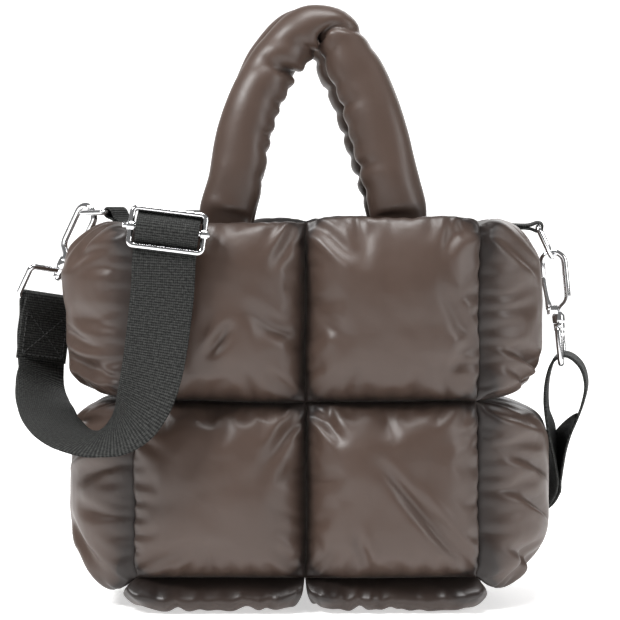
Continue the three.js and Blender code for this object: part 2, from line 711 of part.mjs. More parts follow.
// The shoulder strap is one length of webbing. It starts sewn round the left loop, hangs in
// front of the side, runs up through the slider, over the mouth and down the back, round the
// right loop and all the way back to the slider's bar.
// Its hanging stretch: x as a share of outerHalfWidth, y of outerHalfDepth, z of rimHeight
const hangingRoute = [
  { x: -1.12, y: 0.33, z: 0.66, side: [-0.78, -0.62, 0.04] },
  { x: -1.115, y: 0.22, z: 0.565, side: [-0.79, -0.61, 0] },
  { x: -1.105, y: -0.1, z: 0.475, side: [-0.8, -0.6, 0] },
  { x: -1.05, y: -0.52, z: 0.44, side: [-0.82, -0.57, 0] },
  { x: -0.89, y: -0.93, z: 0.465, side: [-0.88, -0.46, 0.1] },
  { x: -0.72, y: -1.07, z: 0.56, side: [-0.96, -0.26, 0.08] },
  { x: -0.625, y: -1.095, z: 0.69, side: [-0.99, -0.08, 0.1] },
  { x: -0.59, y: -1.09, z: 0.82, side: [-0.99, 0, 0.13] },
];
// Its double stretch behind the bag, in the same shares
const doubleRoute = [
  { x: -0.565, y: -0.9, z: 1.068, side: [-1, 0, 0.05] },
  { x: -0.57, y: -0.55, z: 1.085, side: [-1, 0, 0] },
  { x: -0.575, y: 0, z: 1.06, side: [-1, 0, 0] },
  { x: -0.575, y: 0.55, z: 1.08, side: [-1, 0, 0] },
  { x: -0.57, y: 0.92, z: 1.05, side: [-1, 0, 0] },
  { x: -0.56, y: 1.1, z: 0.93, side: [-1, 0, 0] },
  { x: -0.54, y: 1.11, z: 0.74, side: [-0.99, 0, 0.1] },
  { x: -0.44, y: 1.1, z: 0.48, side: [-0.86, 0, -0.5] },
  { x: -0.19, y: 1.11, z: 0.27, side: [-0.5, 0, -0.86] },
  { x: 0.16, y: 1.14, z: 0.19, side: [-0.06, 0, -1] },
  { x: 0.55, y: 1.1, z: 0.19, side: [0.12, -0.1, -0.99] },
  { x: 0.86, y: 1.0, z: 0.22, side: [0.3, -0.35, -0.88] },
  { x: 1.03, y: 0.68, z: 0.28, side: [0.3, -0.7, -0.6] },
  { x: 1.075, y: 0.33, z: 0.37, side: [0.12, -0.97, -0.2] },
];

function routePoint(row) {
  return v3(row.x * outerHalfWidth, row.y * outerHalfDepth, row.z * rimHeight);
}

// Round the left loop's lower bar: the sewn tail lies behind the run that hangs down
const barTurn = loopWire / 2 + fitGap + strapThick / 2;
const leftBar = fittings.left.pivot.clone().addScaledVector(fittings.left.stem, -loopHeight);
const leftWay = fittings.left.loopSide.clone().negate();
const leftOut = v3(0, 0, -1).cross(leftWay).normalize();
const leftUp = squareTo(Z, leftWay);
const leftPoint = (out, up) => leftBar.clone().addScaledVector(leftOut, out).addScaledVector(leftUp, up);
const sewnHalf = (strapThick + fitGap) / 2;
const leftTurn = [
  leftPoint(-sewnHalf, -sewnTail),
  leftPoint(-sewnHalf, -sewnTail * 0.6),
  leftPoint(-sewnHalf, -sewnTail * 0.3),
  leftPoint(-barTurn * 0.97, -barTurn * 0.5),
  leftPoint(-barTurn * 0.75, barTurn * 0.75),
  leftPoint(0, barTurn * 1.04),
  leftPoint(barTurn * 0.75, barTurn * 0.75),
  leftPoint(barTurn * 0.97, -barTurn * 0.5),
  leftPoint(sewnHalf, -sewnTail * 0.3),
  leftPoint(sewnHalf, -sewnTail * 0.6),
];

// Through the slider: behind the lower bar, over the centre bar and behind the upper bar
const sliderPoint = (out, up) => sliderCentre.clone()
  .addScaledVector(sliderOut, out)
  .addScaledVector(sliderUp, up);
const behindBar = -(sliderWire / 2 + fitGap + strapThick / 2);
const wrapRadius = sliderBarWire / 2 + fitGap + strapThick / 2;
const overBar = wrapRadius + strapThick + fitGap;
const throughSlider = [
  sliderPoint(behindBar, -sliderHalfHeight - 5),
  sliderPoint(behindBar, -sliderHalfHeight),
  sliderPoint(behindBar * 0.74, -sliderHalfHeight - behindBar * 0.8),
  sliderPoint(overBar * 0.72, -overBar * 0.8),
  sliderPoint(overBar, 0),
  sliderPoint(overBar * 0.72, overBar * 0.8),
  sliderPoint(behindBar * 0.74, sliderHalfHeight + behindBar * 0.8),
  sliderPoint(behindBar - fitGap / 2, sliderHalfHeight),
];
const ontoBar = [
  sliderPoint(behindBar - layerPitch * 1.1, sliderHalfHeight),
  sliderPoint(-wrapRadius * 0.35, wrapRadius * 1.45),
  sliderPoint(wrapRadius * 0.72, wrapRadius * 0.76),
  sliderPoint(wrapRadius * 1.04, 0),
  sliderPoint(wrapRadius * 0.72, -wrapRadius * 0.76),
  sliderPoint(0, -wrapRadius * 1.04),
  sliderPoint(-wrapRadius * 0.76, -wrapRadius * 0.72),
  sliderPoint(-wrapRadius * 1.1, 0),
];

// Round the right loop's lower bar in an open bight: out and up as shares of bightSize
const bightSize = 15;
const rightBar = fittings.right.pivot.clone().addScaledVector(fittings.right.stem, -loopHeight);
const rightBight = [
  { out: 0.55, up: -2.55 },
  { out: 0.95, up: -1.75 },
  { out: 1.0, up: -0.95 },
  { out: 0.78, up: -0.25 },
  { out: 0.36, up: 0.2 },
  { out: 0, up: 0.27 },
  { out: -0.36, up: 0.02 },
  { out: -0.6, up: -0.6 },
  { out: -0.62, up: -1.4 },
  { out: -0.4, up: -2.3 },
].map((row) => rightBar.clone()
  .addScaledVector(X, row.out * bightSize)
  .addScaledVector(Z, row.up * bightSize));

function strapGeometry() {
  const half = [strapWidth / 2, strapThick / 2];
  const hints = (rows) => rows.map((row) => v3(...row.side).normalize());
  const steps = doubleRoute.length * 2;
  const doubled = pathStations(doubleRoute.map(routePoint), hints(doubleRoute), half, steps);
  const outer = doubled.map(({ centre, normal }) => centre.clone().addScaledVector(normal, layerPitch / 2));
  const inner = doubled.map(({ centre, normal }) => centre.clone().addScaledVector(normal, -layerPitch / 2));
  const doubleSides = doubled.map(({ side }) => side);
  const rightWay = fittings.right.loopSide.clone().negate();
  const points = [
    ...leftTurn,
    ...hangingRoute.map(routePoint),
    ...throughSlider,
    ...outer,
    ...rightBight,
    ...inner.reverse(),
    ...ontoBar,
  ];
  const sides = [
    ...leftTurn.map(() => leftWay),
    ...hints(hangingRoute),
    ...throughSlider.map(() => sliderAlong.clone().negate()),
    ...doubleSides,
    ...rightBight.map(() => rightWay),
    ...[...doubleSides].reverse(),
    ...ontoBar.map(() => sliderAlong.clone().negate()),
  ];
  return sweep(pathStations(points, sides, half, 2 * points.length), bandOutline);
}
addMesh(bag, 'strap', strapGeometry(), webbing);

export default bag;
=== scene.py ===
import json
import math
import random
import bpy
import bmesh
from mathutils import Matrix, Vector, noise

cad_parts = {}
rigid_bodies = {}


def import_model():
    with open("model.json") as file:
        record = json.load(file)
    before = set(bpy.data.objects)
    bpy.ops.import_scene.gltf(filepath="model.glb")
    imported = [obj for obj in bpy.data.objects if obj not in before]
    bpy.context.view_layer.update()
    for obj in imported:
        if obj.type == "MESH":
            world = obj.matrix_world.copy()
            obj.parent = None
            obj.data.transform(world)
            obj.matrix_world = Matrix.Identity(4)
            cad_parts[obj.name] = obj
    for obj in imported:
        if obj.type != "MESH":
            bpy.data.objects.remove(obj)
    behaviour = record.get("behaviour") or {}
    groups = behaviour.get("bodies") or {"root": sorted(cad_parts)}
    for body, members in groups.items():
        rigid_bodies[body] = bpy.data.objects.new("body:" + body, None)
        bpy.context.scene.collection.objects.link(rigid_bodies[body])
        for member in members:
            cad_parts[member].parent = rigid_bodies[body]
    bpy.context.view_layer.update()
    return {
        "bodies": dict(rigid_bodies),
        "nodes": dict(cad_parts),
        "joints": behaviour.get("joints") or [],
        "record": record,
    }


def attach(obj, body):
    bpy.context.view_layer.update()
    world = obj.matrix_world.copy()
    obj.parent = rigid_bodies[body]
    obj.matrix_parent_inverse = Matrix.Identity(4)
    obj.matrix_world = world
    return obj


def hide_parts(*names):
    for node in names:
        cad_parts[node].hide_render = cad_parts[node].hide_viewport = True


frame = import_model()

mm = 0.001
joints = {joint["name"]: joint for joint in frame["joints"]}
xWay, yWay, zWay = Vector((1, 0, 0)), Vector((0, 1, 0)), Vector((0, 0, 1))
bpy.ops.object.select_all(action="DESELECT")
noise.seed_set(7)       # noise_vector would start from the clock
print("scene: frame loaded")


# Camera and studio

studio = {
    "distance": 1.6,
    "lens": 146.3,
    "aim": (0.0019, 0.0, 0.1821),
    "lift": 2.6,            # degrees above level
    "floor": (0.93, 0.925, 0.92),
    "floorGlow": 0.55,
    "world": 0.22,
}


bpy.context.scene.view_settings.view_transform = "Standard"


def setCamera():
    lift = math.radians(studio["lift"])
    aim = Vector(studio["aim"])
    place = aim + Vector((0, -math.cos(lift), math.sin(lift))) * studio["distance"]
    bpy.ops.object.camera_add(location=place, rotation=(math.pi / 2 - lift, 0, 0))
    camera = bpy.context.object
    camera.data.lens = studio["lens"]
    camera.data.sensor_width = 36
    camera.data.clip_end = 20
    bpy.context.scene.camera = camera


lamps = {
    "key": {"at": (-1.3, -0.95, 1.75), "size": (0.6, 0.6), "power": 48},
    "fill": {"at": (1.9, -0.8, 0.8), "size": (0.5, 1.2), "power": 15},
    "top": {"at": (0.1, -0.3, 2.1), "size": (0.9, 0.6), "power": 34},
    "back": {"at": (0.9, 2.2, 1.4), "size": (1.5, 1.2), "power": 14},
}


def setLamps():
    for name, lamp in lamps.items():
        bpy.ops.object.light_add(type="AREA", location=lamp["at"])
        light = bpy.context.object
        light.name = name + "_lamp"
        light.data.shape = "RECTANGLE"
        light.data.size, light.data.size_y = lamp["size"]
        light.data.energy = lamp["power"]
        towards = Vector((0, 0, 0.15)) - Vector(lamp["at"])
        light.rotation_euler = towards.to_track_quat("-Z", "Y").to_euler()
    world = bpy.data.worlds.new("studio")
    bpy.context.scene.world = world
    world.use_nodes = True
    background = world.node_tree.nodes["Background"]
    background.inputs["Color"].default_value = (1, 1, 1, 1)
    background.inputs["Strength"].default_value = studio["world"]


def setFloor():
    bpy.ops.mesh.primitive_plane_add(size=8, location=(0, 1.5, -0.0006))
    floor = bpy.context.object
    floor.name = "floor"
    bpy.ops.object.transform_apply(location=True)
    bpy.ops.object.mode_set(mode="EDIT")
    bpy.ops.mesh.select_all(action="DESELECT")
    mesh = bmesh.from_edit_mesh(floor.data)
    for edge in mesh.edges:
        edge.select = all(vert.co.y > 5 for vert in edge.verts)
    bmesh.update_edit_mesh(floor.data)
    bpy.ops.mesh.extrude_region_move(TRANSFORM_OT_translate={"value": (0, 0, 4)})
    bpy.ops.object.mode_set(mode="OBJECT")
    paint = bpy.data.materials.new("studioFloor")
    paint.use_nodes = True
    skin = paint.node_tree.nodes["Principled BSDF"]
    skin.inputs["Base Color"].default_value = (*studio["floor"], 1)
    skin.inputs["Roughness"].default_value = 0.7
    skin.inputs["Emission Color"].default_value = (1, 1, 1, 1)
    skin.inputs["Emission Strength"].default_value = studio["floorGlow"]
    floor.data.materials.append(paint)


setCamera()
setLamps()
setFloor()
print("scene: studio set")


# Shader sums written as Python

class Shade:
    def __init__(self, tree, socket=None):
        self.tree = tree
        self.socket = socket

    def add(self, kind, settings=None, inputs=None, output=0):
        node = self.tree.nodes.new(kind)
        for name, value in (settings or {}).items():
            if name == "stops":
                ramp = node.color_ramp
                while len(ramp.elements) < len(value):
                    ramp.elements.new(0.5)
                for element, (place, grey) in zip(ramp.elements, value):
                    element.position = place
                    element.color = (*grey, 1) if hasattr(grey, "__len__") else (grey, grey, grey, 1)
            else:
                setattr(node, name, value)
        for name, value in (inputs or {}).items():
            if isinstance(value, Shade):
                self.tree.links.new(value.socket, node.inputs[name])
            else:
                node.inputs[name].default_value = value
        return Shade(self.tree, node.outputs[output])

    def math(self, operation, *values):
        return self.add("ShaderNodeMath", {"operation": operation}, dict(enumerate(values)))

    def __add__(self, other):
        return self.math("ADD", self, other)

    def __sub__(self, other):
        return self.math("SUBTRACT", self, other)

    def __rsub__(self, other):
        return self.math("SUBTRACT", other, self)

    def __mul__(self, other):
        return self.math("MULTIPLY", self, other)

    __radd__ = __add__
    __rmul__ = __mul__

    def mix(self, first, second):
        return self.add(
            "ShaderNodeMix", {"data_type": "RGBA"}, {0: self, 6: first, 7: second}, output=2
        )


def newMaterial(name, slots):
    paint = bpy.data.materials.new(name)
    paint.use_nodes = True
    tree = paint.node_tree
    skin = tree.nodes["Principled BSDF"]
    for socket, value in slots.items():
        skin.inputs[socket].default_value = value
    return paint, Shade(tree), skin


def feed(shade, skin, socket, value):
    shade.tree.links.new(value.socket, skin.inputs[socket])


def bump(shade, height, strength, distance, under=None):
    inputs = {"Height": height, "Strength": strength, "Distance": distance}
    if under is not None:
        inputs["Normal"] = under
    return shade.add("ShaderNodeBump", {}, inputs)


shellLook = {
    "light": (0.068, 0.043, 0.033, 1),
    "dark": (0.045, 0.028, 0.021, 1),
    # painted shade: the dark colour laid into the seam and crease valleys
    "seam": (0.014, 0.009, 0.0075, 1),
    "roughness": 0.36,
    "roughnessSpread": 0.10,
}


def makeShell():
    paint, shade, skin = newMaterial("taupeShell", {
        "Specular IOR Level": 0.42,
        "Sheen Weight": 0.06,
        "Sheen Roughness": 0.45,
        "Sheen Tint": (0.75, 0.66, 0.6, 1),
        "Coat Roughness": 0.35,
    })
    place = shade.add("ShaderNodeTexCoord", output=3)
    mottle = shade.add("ShaderNodeTexNoise", {}, {"Vector": place, "Scale": 14.0, "Detail": 4.0})
    cloudy = shade.add("ShaderNodeTexNoise", {}, {"Vector": place, "Scale": 120.0, "Detail": 3.0})
    nearSeam = shade.add("ShaderNodeAttribute", {"attribute_name": "nearSeam"}, output=2)
    tone = mottle * 0.75 + cloudy * 0.25
    colour = tone.mix(shellLook["dark"], shellLook["light"])
    # painted shade: the colour darkens to the seam shade colour where the crease weight nears 1
    creaseShaded = nearSeam.math("POWER", nearSeam, 15.0).mix(colour, shellLook["seam"])
    feed(shade, skin, "Base Color", creaseShaded)
    feed(shade, skin, "Roughness", shellLook["roughness"] + cloudy * shellLook["roughnessSpread"])
    weaveX = shade.add("ShaderNodeTexNoise", {}, {"Vector": place, "Scale": 1500.0, "Detail": 1.0})
    crinkle = shade.add("ShaderNodeTexNoise", {}, {"Vector": place, "Scale": 90.0, "Detail": 3.0})
    creases = shade.add(
        "ShaderNodeTexVoronoi", {"feature": "DISTANCE_TO_EDGE"}, {"Vector": place, "Scale": 45.0}
    )
    soft = crinkle * 0.7 + creases.math("MINIMUM", creases, 0.12) * 1.2
    under = bump(shade, soft, 0.22, 0.0012)
    feed(shade, skin, "Normal", bump(shade, weaveX, 0.12, 0.0002, under))
    return paint


def makeLining():
    paint, shade, skin = newMaterial("darkLining", {"Roughness": 0.6})
    place = shade.add("ShaderNodeTexCoord", output=3)
    twill = shade.add("ShaderNodeTexNoise", {}, {"Vector": place, "Scale": 900.0, "Detail": 2.0})
    feed(shade, skin, "Base Color", twill.mix((0.045, 0.036, 0.032, 1), (0.075, 0.06, 0.053, 1)))
    feed(shade, skin, "Normal", bump(shade, twill, 0.3, 0.0003))
    return paint


webLook = {
    "width": 38 * mm,
    "ribPitch": 1.55 * mm,
    "warpPitch": 1.3 * mm,
    # the light colour marks the weave speckle and a painted highlight on the rib crests
    "dark": (0.002, 0.0021, 0.002, 1),
    "light": (0.038, 0.0395, 0.037, 1),
}


def makeWebbing():
    paint, shade, skin = newMaterial("blackWebbing", {"Specular IOR Level": 0.25})
    uv = shade.add("ShaderNodeUVMap", {"uv_map": "run"})
    across = shade.add("ShaderNodeSeparateXYZ", {}, {0: uv}, output=0)
    along = shade.add("ShaderNodeSeparateXYZ", {}, {0: uv}, output=1)
    turn = 2 * math.pi
    ribs = shade.math("SINE", along * (turn / webLook["ribPitch"]))
    warps = shade.math("SINE", across * (turn / webLook["warpPitch"]))
    grain = shade.add("ShaderNodeTexNoise", {}, {"Vector": uv, "Scale": 1400.0, "Detail": 2.0})
    speckle = shade.add("ShaderNodeTexNoise", {}, {"Vector": uv, "Scale": 620.0, "Detail": 1.0})
    height = (ribs * 0.5 + 0.5) * 0.6 + (warps * 0.5 + 0.5) * 0.3 + grain * 0.25
    # painted highlight: the colour lightens on the rib crests, mixed with the weave's own speckle
    ribHighlightAndSpeckle = shade.add(
        "ShaderNodeValToRGB", {"stops": [(0.55, 0.0), (1.0, 1.0)]}, {"Fac": height * 0.55 + speckle * 0.8}
    )
    feed(shade, skin, "Base Color", ribHighlightAndSpeckle.mix(webLook["dark"], webLook["light"]))
    feed(shade, skin, "Roughness", 0.62 + grain * 0.2)
    feed(shade, skin, "Normal", bump(shade, height, 0.75, 0.0005))
    return paint


def makeNickel():
    paint, shade, skin = newMaterial("polishedNickel", {"Metallic": 1.0})
    place = shade.add("ShaderNodeTexCoord", output=3)
    haze = shade.add("ShaderNodeTexNoise", {}, {"Vector": place, "Scale": 220.0, "Detail": 5.0})
    feed(shade, skin, "Base Color", haze.mix((0.60, 0.60, 0.61, 1), (0.78, 0.78, 0.79, 1)))
    feed(shade, skin, "Roughness", 0.06 + haze * 0.1)
    feed(shade, skin, "Normal", bump(shade, haze, 0.05, 0.0002))
    return paint


def makeThread():
    paint, shade, skin = newMaterial("blackThread", {"Roughness": 0.6})
    place = shade.add("ShaderNodeTexCoord", output=3)
    ply = shade.add("ShaderNodeTexNoise", {}, {"Vector": place, "Scale": 2500.0, "Detail": 1.0})
    feed(shade, skin, "Base Color", ply.mix((0.012, 0.012, 0.012, 1), (0.05, 0.05, 0.05, 1)))
    return paint


shellFabric = makeShell()
liningFabric = makeLining()
webbingFabric = makeWebbing()
nickelPlate = makeNickel()
blackThread = makeThread()
print("scene: materials made")


# Meshes from rows of points

def makeObject(name, points, faces, materials):
    mesh = bpy.data.meshes.new(name)
    mesh.from_pydata([tuple(point) for point in points], [], faces)
    mesh.update()
    piece = bpy.data.objects.new(name, mesh)
    bpy.context.scene.collection.objects.link(piece)
    for paint in materials:
        mesh.materials.append(paint)
    return piece


def pickOnly(piece):
    bpy.ops.object.select_all(action="DESELECT")
    piece.select_set(True)
    bpy.context.view_layer.objects.active = piece


def smoothAll(piece):
    piece.data.polygons.foreach_set("use_smooth", [True] * len(piece.data.polygons))


def applyModifiers(piece):
    pickOnly(piece)
    for modifier in list(piece.modifiers):
        bpy.ops.object.modifier_apply(modifier=modifier.name)


def subdivide(piece, levels=1):
    smooth = piece.modifiers.new("smooth", "SUBSURF")
    smooth.levels = smooth.render_levels = levels
    applyModifiers(piece)


# Quilted puffs

panelWays = {
    "front": (xWay, zWay, -yWay),
    "back": (xWay, zWay, yWay),
    "left": (yWay, zWay, -xWay),
    "right": (yWay, zWay, xWay),
    "base": (xWay, yWay, -zWay),
}

seams = {
    "halfWidth": 104 * mm,
    "halfDepth": 58 * mm,
    "base": 20 * mm,
    "middle": 128 * mm,
    "rim": 238 * mm,
    "gussetRim": 235 * mm,
    "centre": -1 * mm,
    "waver": 1.7 * mm,      # how far hand sewing strays
}

quilting = {
    "cells": 44,
    "fullness": {"front": (3.0, 3.2), "back": (3.0, 3.2), "left": (2.4, 8.0), "right": (2.4, 6.0), "base": (6.0, 6.0)},
    "overSeam": 5 * mm,     # how far a puff bulges over the bag's corner seams
    "droop": 15 * mm,       # how far the side puffs hang below the base seam
    "baseGather": 7 * mm,
    "baseForward": 7 * mm,
    "boxiness": {"front": 0.25, "back": 0.25, "left": 0.65, "right": 0.6},
    "liningSwell": 8 * mm,
    "gatherSpacing": (7, 15),
    "gatherDepth": (0.08, 0.30),
    "gatherReach": (0.10, 0.30),
    "gatherWidth": 0.030,
    "unevenness": 3.4 * mm,
    "foldStrength": 1.5,
    "cap": 8 * mm,
}

# Each puff: swell and rise in millimetres, and its folds, from one place to another
# (-1 to 1 each way) with a depth as a share of the swell and a width as a share of the half width
puffs = {
    "front_upper_left": {
        "panel": "front", "swell": 27.5, "rise": 4,
        "folds": [
            ((1.0, -0.35), (0.30, 0.05), 0.13, 0.08),
            ((0.10, -0.15), (-0.12, -0.45), 0.12, 0.06),
            ((-0.62, 1.0), (-0.62, 0.2), 0.14, 0.38),
            ((0.98, 0.98), (0.62, 0.50), 0.14, 0.07),
            ((0.95, -0.98), (0.55, -0.62), 0.12, 0.06),
        ],
    },
    "front_upper_right": {
        "panel": "front", "swell": 28, "rise": 8,
        "folds": [
            ((1.0, -0.50), (0.55, 0.32), 0.14, 0.08),
            ((1.0, -0.15), (0.62, -0.75), 0.09, 0.07),
            ((-1.0, 0.10), (-0.50, -0.25), 0.10, 0.08),
            ((-0.98, 0.98), (-0.45, 0.62), 0.14, 0.07),
            ((0.98, 0.98), (0.6, 0.7), 0.10, 0.06),
        ],
    },
    "front_lower_left": {
        "panel": "front", "swell": 28, "rise": 0,
        "folds": [
            ((-0.98, -0.92), (-0.30, -0.55), 0.13, 0.08),
            ((0.98, 0.95), (0.50, 0.30), 0.11, 0.08),
            ((1.0, -0.6), (0.6, -0.35), 0.09, 0.07),
            ((0.98, -0.98), (0.62, -0.6), 0.12, 0.06),
        ],
    },
    "front_lower_right": {
        "panel": "front", "swell": 28, "rise": 0,
        "folds": [
            ((0.97, -0.99), (-0.08, 0.28), 0.20, 0.055),
            ((0.97, -0.82), (0.26, 0.02), 0.17, 0.05),
            ((-0.20, -1.0), (-0.40, -0.42), 0.14, 0.055),
            ((-0.98, 0.95), (-0.55, 0.60), 0.12, 0.06),
            ((-0.98, -0.98), (-0.6, -0.62), 0.12, 0.06),
        ],
    },
    "back_upper_left": {
        "panel": "back", "swell": 27, "rise": 6.5,
        "folds": [
            ((-0.70, 1.0), (-0.65, -0.5), 0.13, 0.34),
            ((0.95, 0.2), (0.4, -0.2), 0.11, 0.08),
            ((0.98, -0.98), (0.5, -0.5), 0.12, 0.06),
        ],
    },
    "back_upper_right": {
        "panel": "back", "swell": 27, "rise": 7,
        "folds": [
            ((-0.98, -0.4), (-0.4, 0.1), 0.13, 0.08),
            ((0.98, 0.95), (0.5, 0.4), 0.12, 0.07),
            ((0.2, -1.0), (0.3, -0.5), 0.10, 0.06),
        ],
    },
    "back_lower_left": {
        "panel": "back", "swell": 27.5, "rise": 0,
        "folds": [
            ((0.97, -0.97), (0.20, -0.10), 0.16, 0.06),
            ((-0.98, 0.1), (-0.4, -0.4), 0.11, 0.08),
            ((-0.3, -1.0), (-0.2, -0.5), 0.11, 0.06),
        ],
    },
    "back_lower_right": {
        "panel": "back", "swell": 27.5, "rise": 0,
        "folds": [
            ((-0.97, -0.97), (-0.15, 0.05), 0.16, 0.06),
            ((0.98, 0.6), (0.3, 0.2), 0.11, 0.08),
            ((0.98, -0.95), (0.6, -0.5), 0.12, 0.06),
        ],
    },
    "side_left_upper": {
        "panel": "left", "swell": 47, "rise": 4,
        "folds": [
            ((0.35, 1.0), (0.45, 0.1), 0.20, 0.36),
            ((-1.0, -0.70), (-0.20, -0.50), 0.12, 0.07),
            ((-1.0, -0.42), (-0.30, -0.20), 0.09, 0.06),
            ((-1.0, 0.75), (-0.50, 0.62), 0.09, 0.06),
        ],
    },
    "side_left_lower": {
        "panel": "left", "swell": 46, "rise": 0,
        "folds": [
            ((-1.0, 0.60), (-0.20, 0.30), 0.11, 0.07),
            ((-1.0, 0.80), (-0.30, 0.62), 0.09, 0.06),
            ((-0.98, -0.95), (-0.3, -0.4), 0.11, 0.07),
        ],
    },
    "side_right_upper": {
        "panel": "right", "swell": 44.5, "rise": 8,
        "folds": [
            ((-1.0, -0.35), (-0.10, -0.72), 0.18, 0.06),
            ((-1.0, -0.55), (-0.35, -0.85), 0.11, 0.06),
            ((-1.0, 0.85), (-0.45, 0.45), 0.11, 0.07),
        ],
    },
    "side_right_lower": {
        "panel": "right", "swell": 49.5, "rise": 0,
        "folds": [
            ((-1.0, 0.45), (-0.35, 0.10), 0.12, 0.06),
            ((-1.0, 0.05), (-0.25, -0.40), 0.13, 0.06),
            ((-0.98, -0.55), (-0.1, -0.92), 0.14, 0.06),
            ((-0.98, 0.95), (-0.5, 0.7), 0.10, 0.06),
        ],
    },
    "base_left": {"panel": "base", "swell": 20, "rise": 12, "folds": []},
    "base_right": {"panel": "base", "swell": 20, "rise": 10, "folds": []},
}


def seamRect(name, panel):
    # where a puff's seams run: low and high, across the panel and up it
    half = seams["halfDepth"]
    if panel in ("left", "right"):
        sideways = (-half, half)
    elif name.endswith("left"):
        sideways = (-seams["halfWidth"], seams["centre"])
    else:
        sideways = (seams["centre"], seams["halfWidth"])
    if panel == "base":
        return sideways, (-half, half)
    rim = seams["gussetRim"] if panel in ("left", "right") else seams["rim"]
    upper = "upper" in name
    return sideways, ((seams["middle"], rim) if upper else (seams["base"], seams["middle"]))


def panelLevel(panel):
    if panel == "base":
        return seams["base"]
    return seams["halfDepth"] if panel in ("front", "back") else seams["halfWidth"]


def foldShare(u, v, folds):
    share = 1.0
    for start, end, depth, width in folds:
        runU, runV = end[0] - start[0], end[1] - start[1]
        length = math.hypot(runU, runV)
        along = ((u - start[0]) * runU + (v - start[1]) * runV) / length ** 2
        held = min(1.0, max(0.0, along))
        sideways = ((u - start[0]) * runV - (v - start[1]) * runU) / length
        past = max(0.0, abs(along - 0.5) - 0.5) * length
        away = math.hypot(sideways, past)
        fade = math.sin(math.pi * min(1.0, max(0.0, held * 0.82 + 0.15))) ** 0.7
        groove = math.exp(-(away / width) ** 2)
        ridge = math.exp(-((sideways - 1.9 * width) / (0.85 * width)) ** 2) * math.exp(-(past / width) ** 2)
        share *= 1 - depth * quilting["foldStrength"] * fade * (groove - 0.4 * ridge)
    return share


def makeGathers(rng, span):
    # pinches along one seam: place, depth, reach inwards and slant
    gathers = []
    low, high = quilting["gatherSpacing"]
    place = -1 + rng.uniform(0.02, 0.08)
    while place < 0.98:
        gathers.append((
            place,
            rng.uniform(*quilting["gatherDepth"]),
            rng.uniform(*quilting["gatherReach"]),
            rng.uniform(-0.35, 0.35) - 0.5 * place,
        ))
        place += rng.uniform(low, high) * mm / (span / 2)
    return gathers


def gatherShare(along, inwards, gathers):
    share = 1.0
    for place, depth, reach, slant in gathers:
        if inwards > reach * 2.0:
            continue
        away = along - place - slant * inwards
        width = quilting["gatherWidth"] * (1 + 2.0 * inwards / reach)
        if abs(away) < 3 * width:
            share *= 1 - depth * math.exp(-(away / width) ** 2) * math.exp(-(inwards / reach) ** 1.6)
    return share


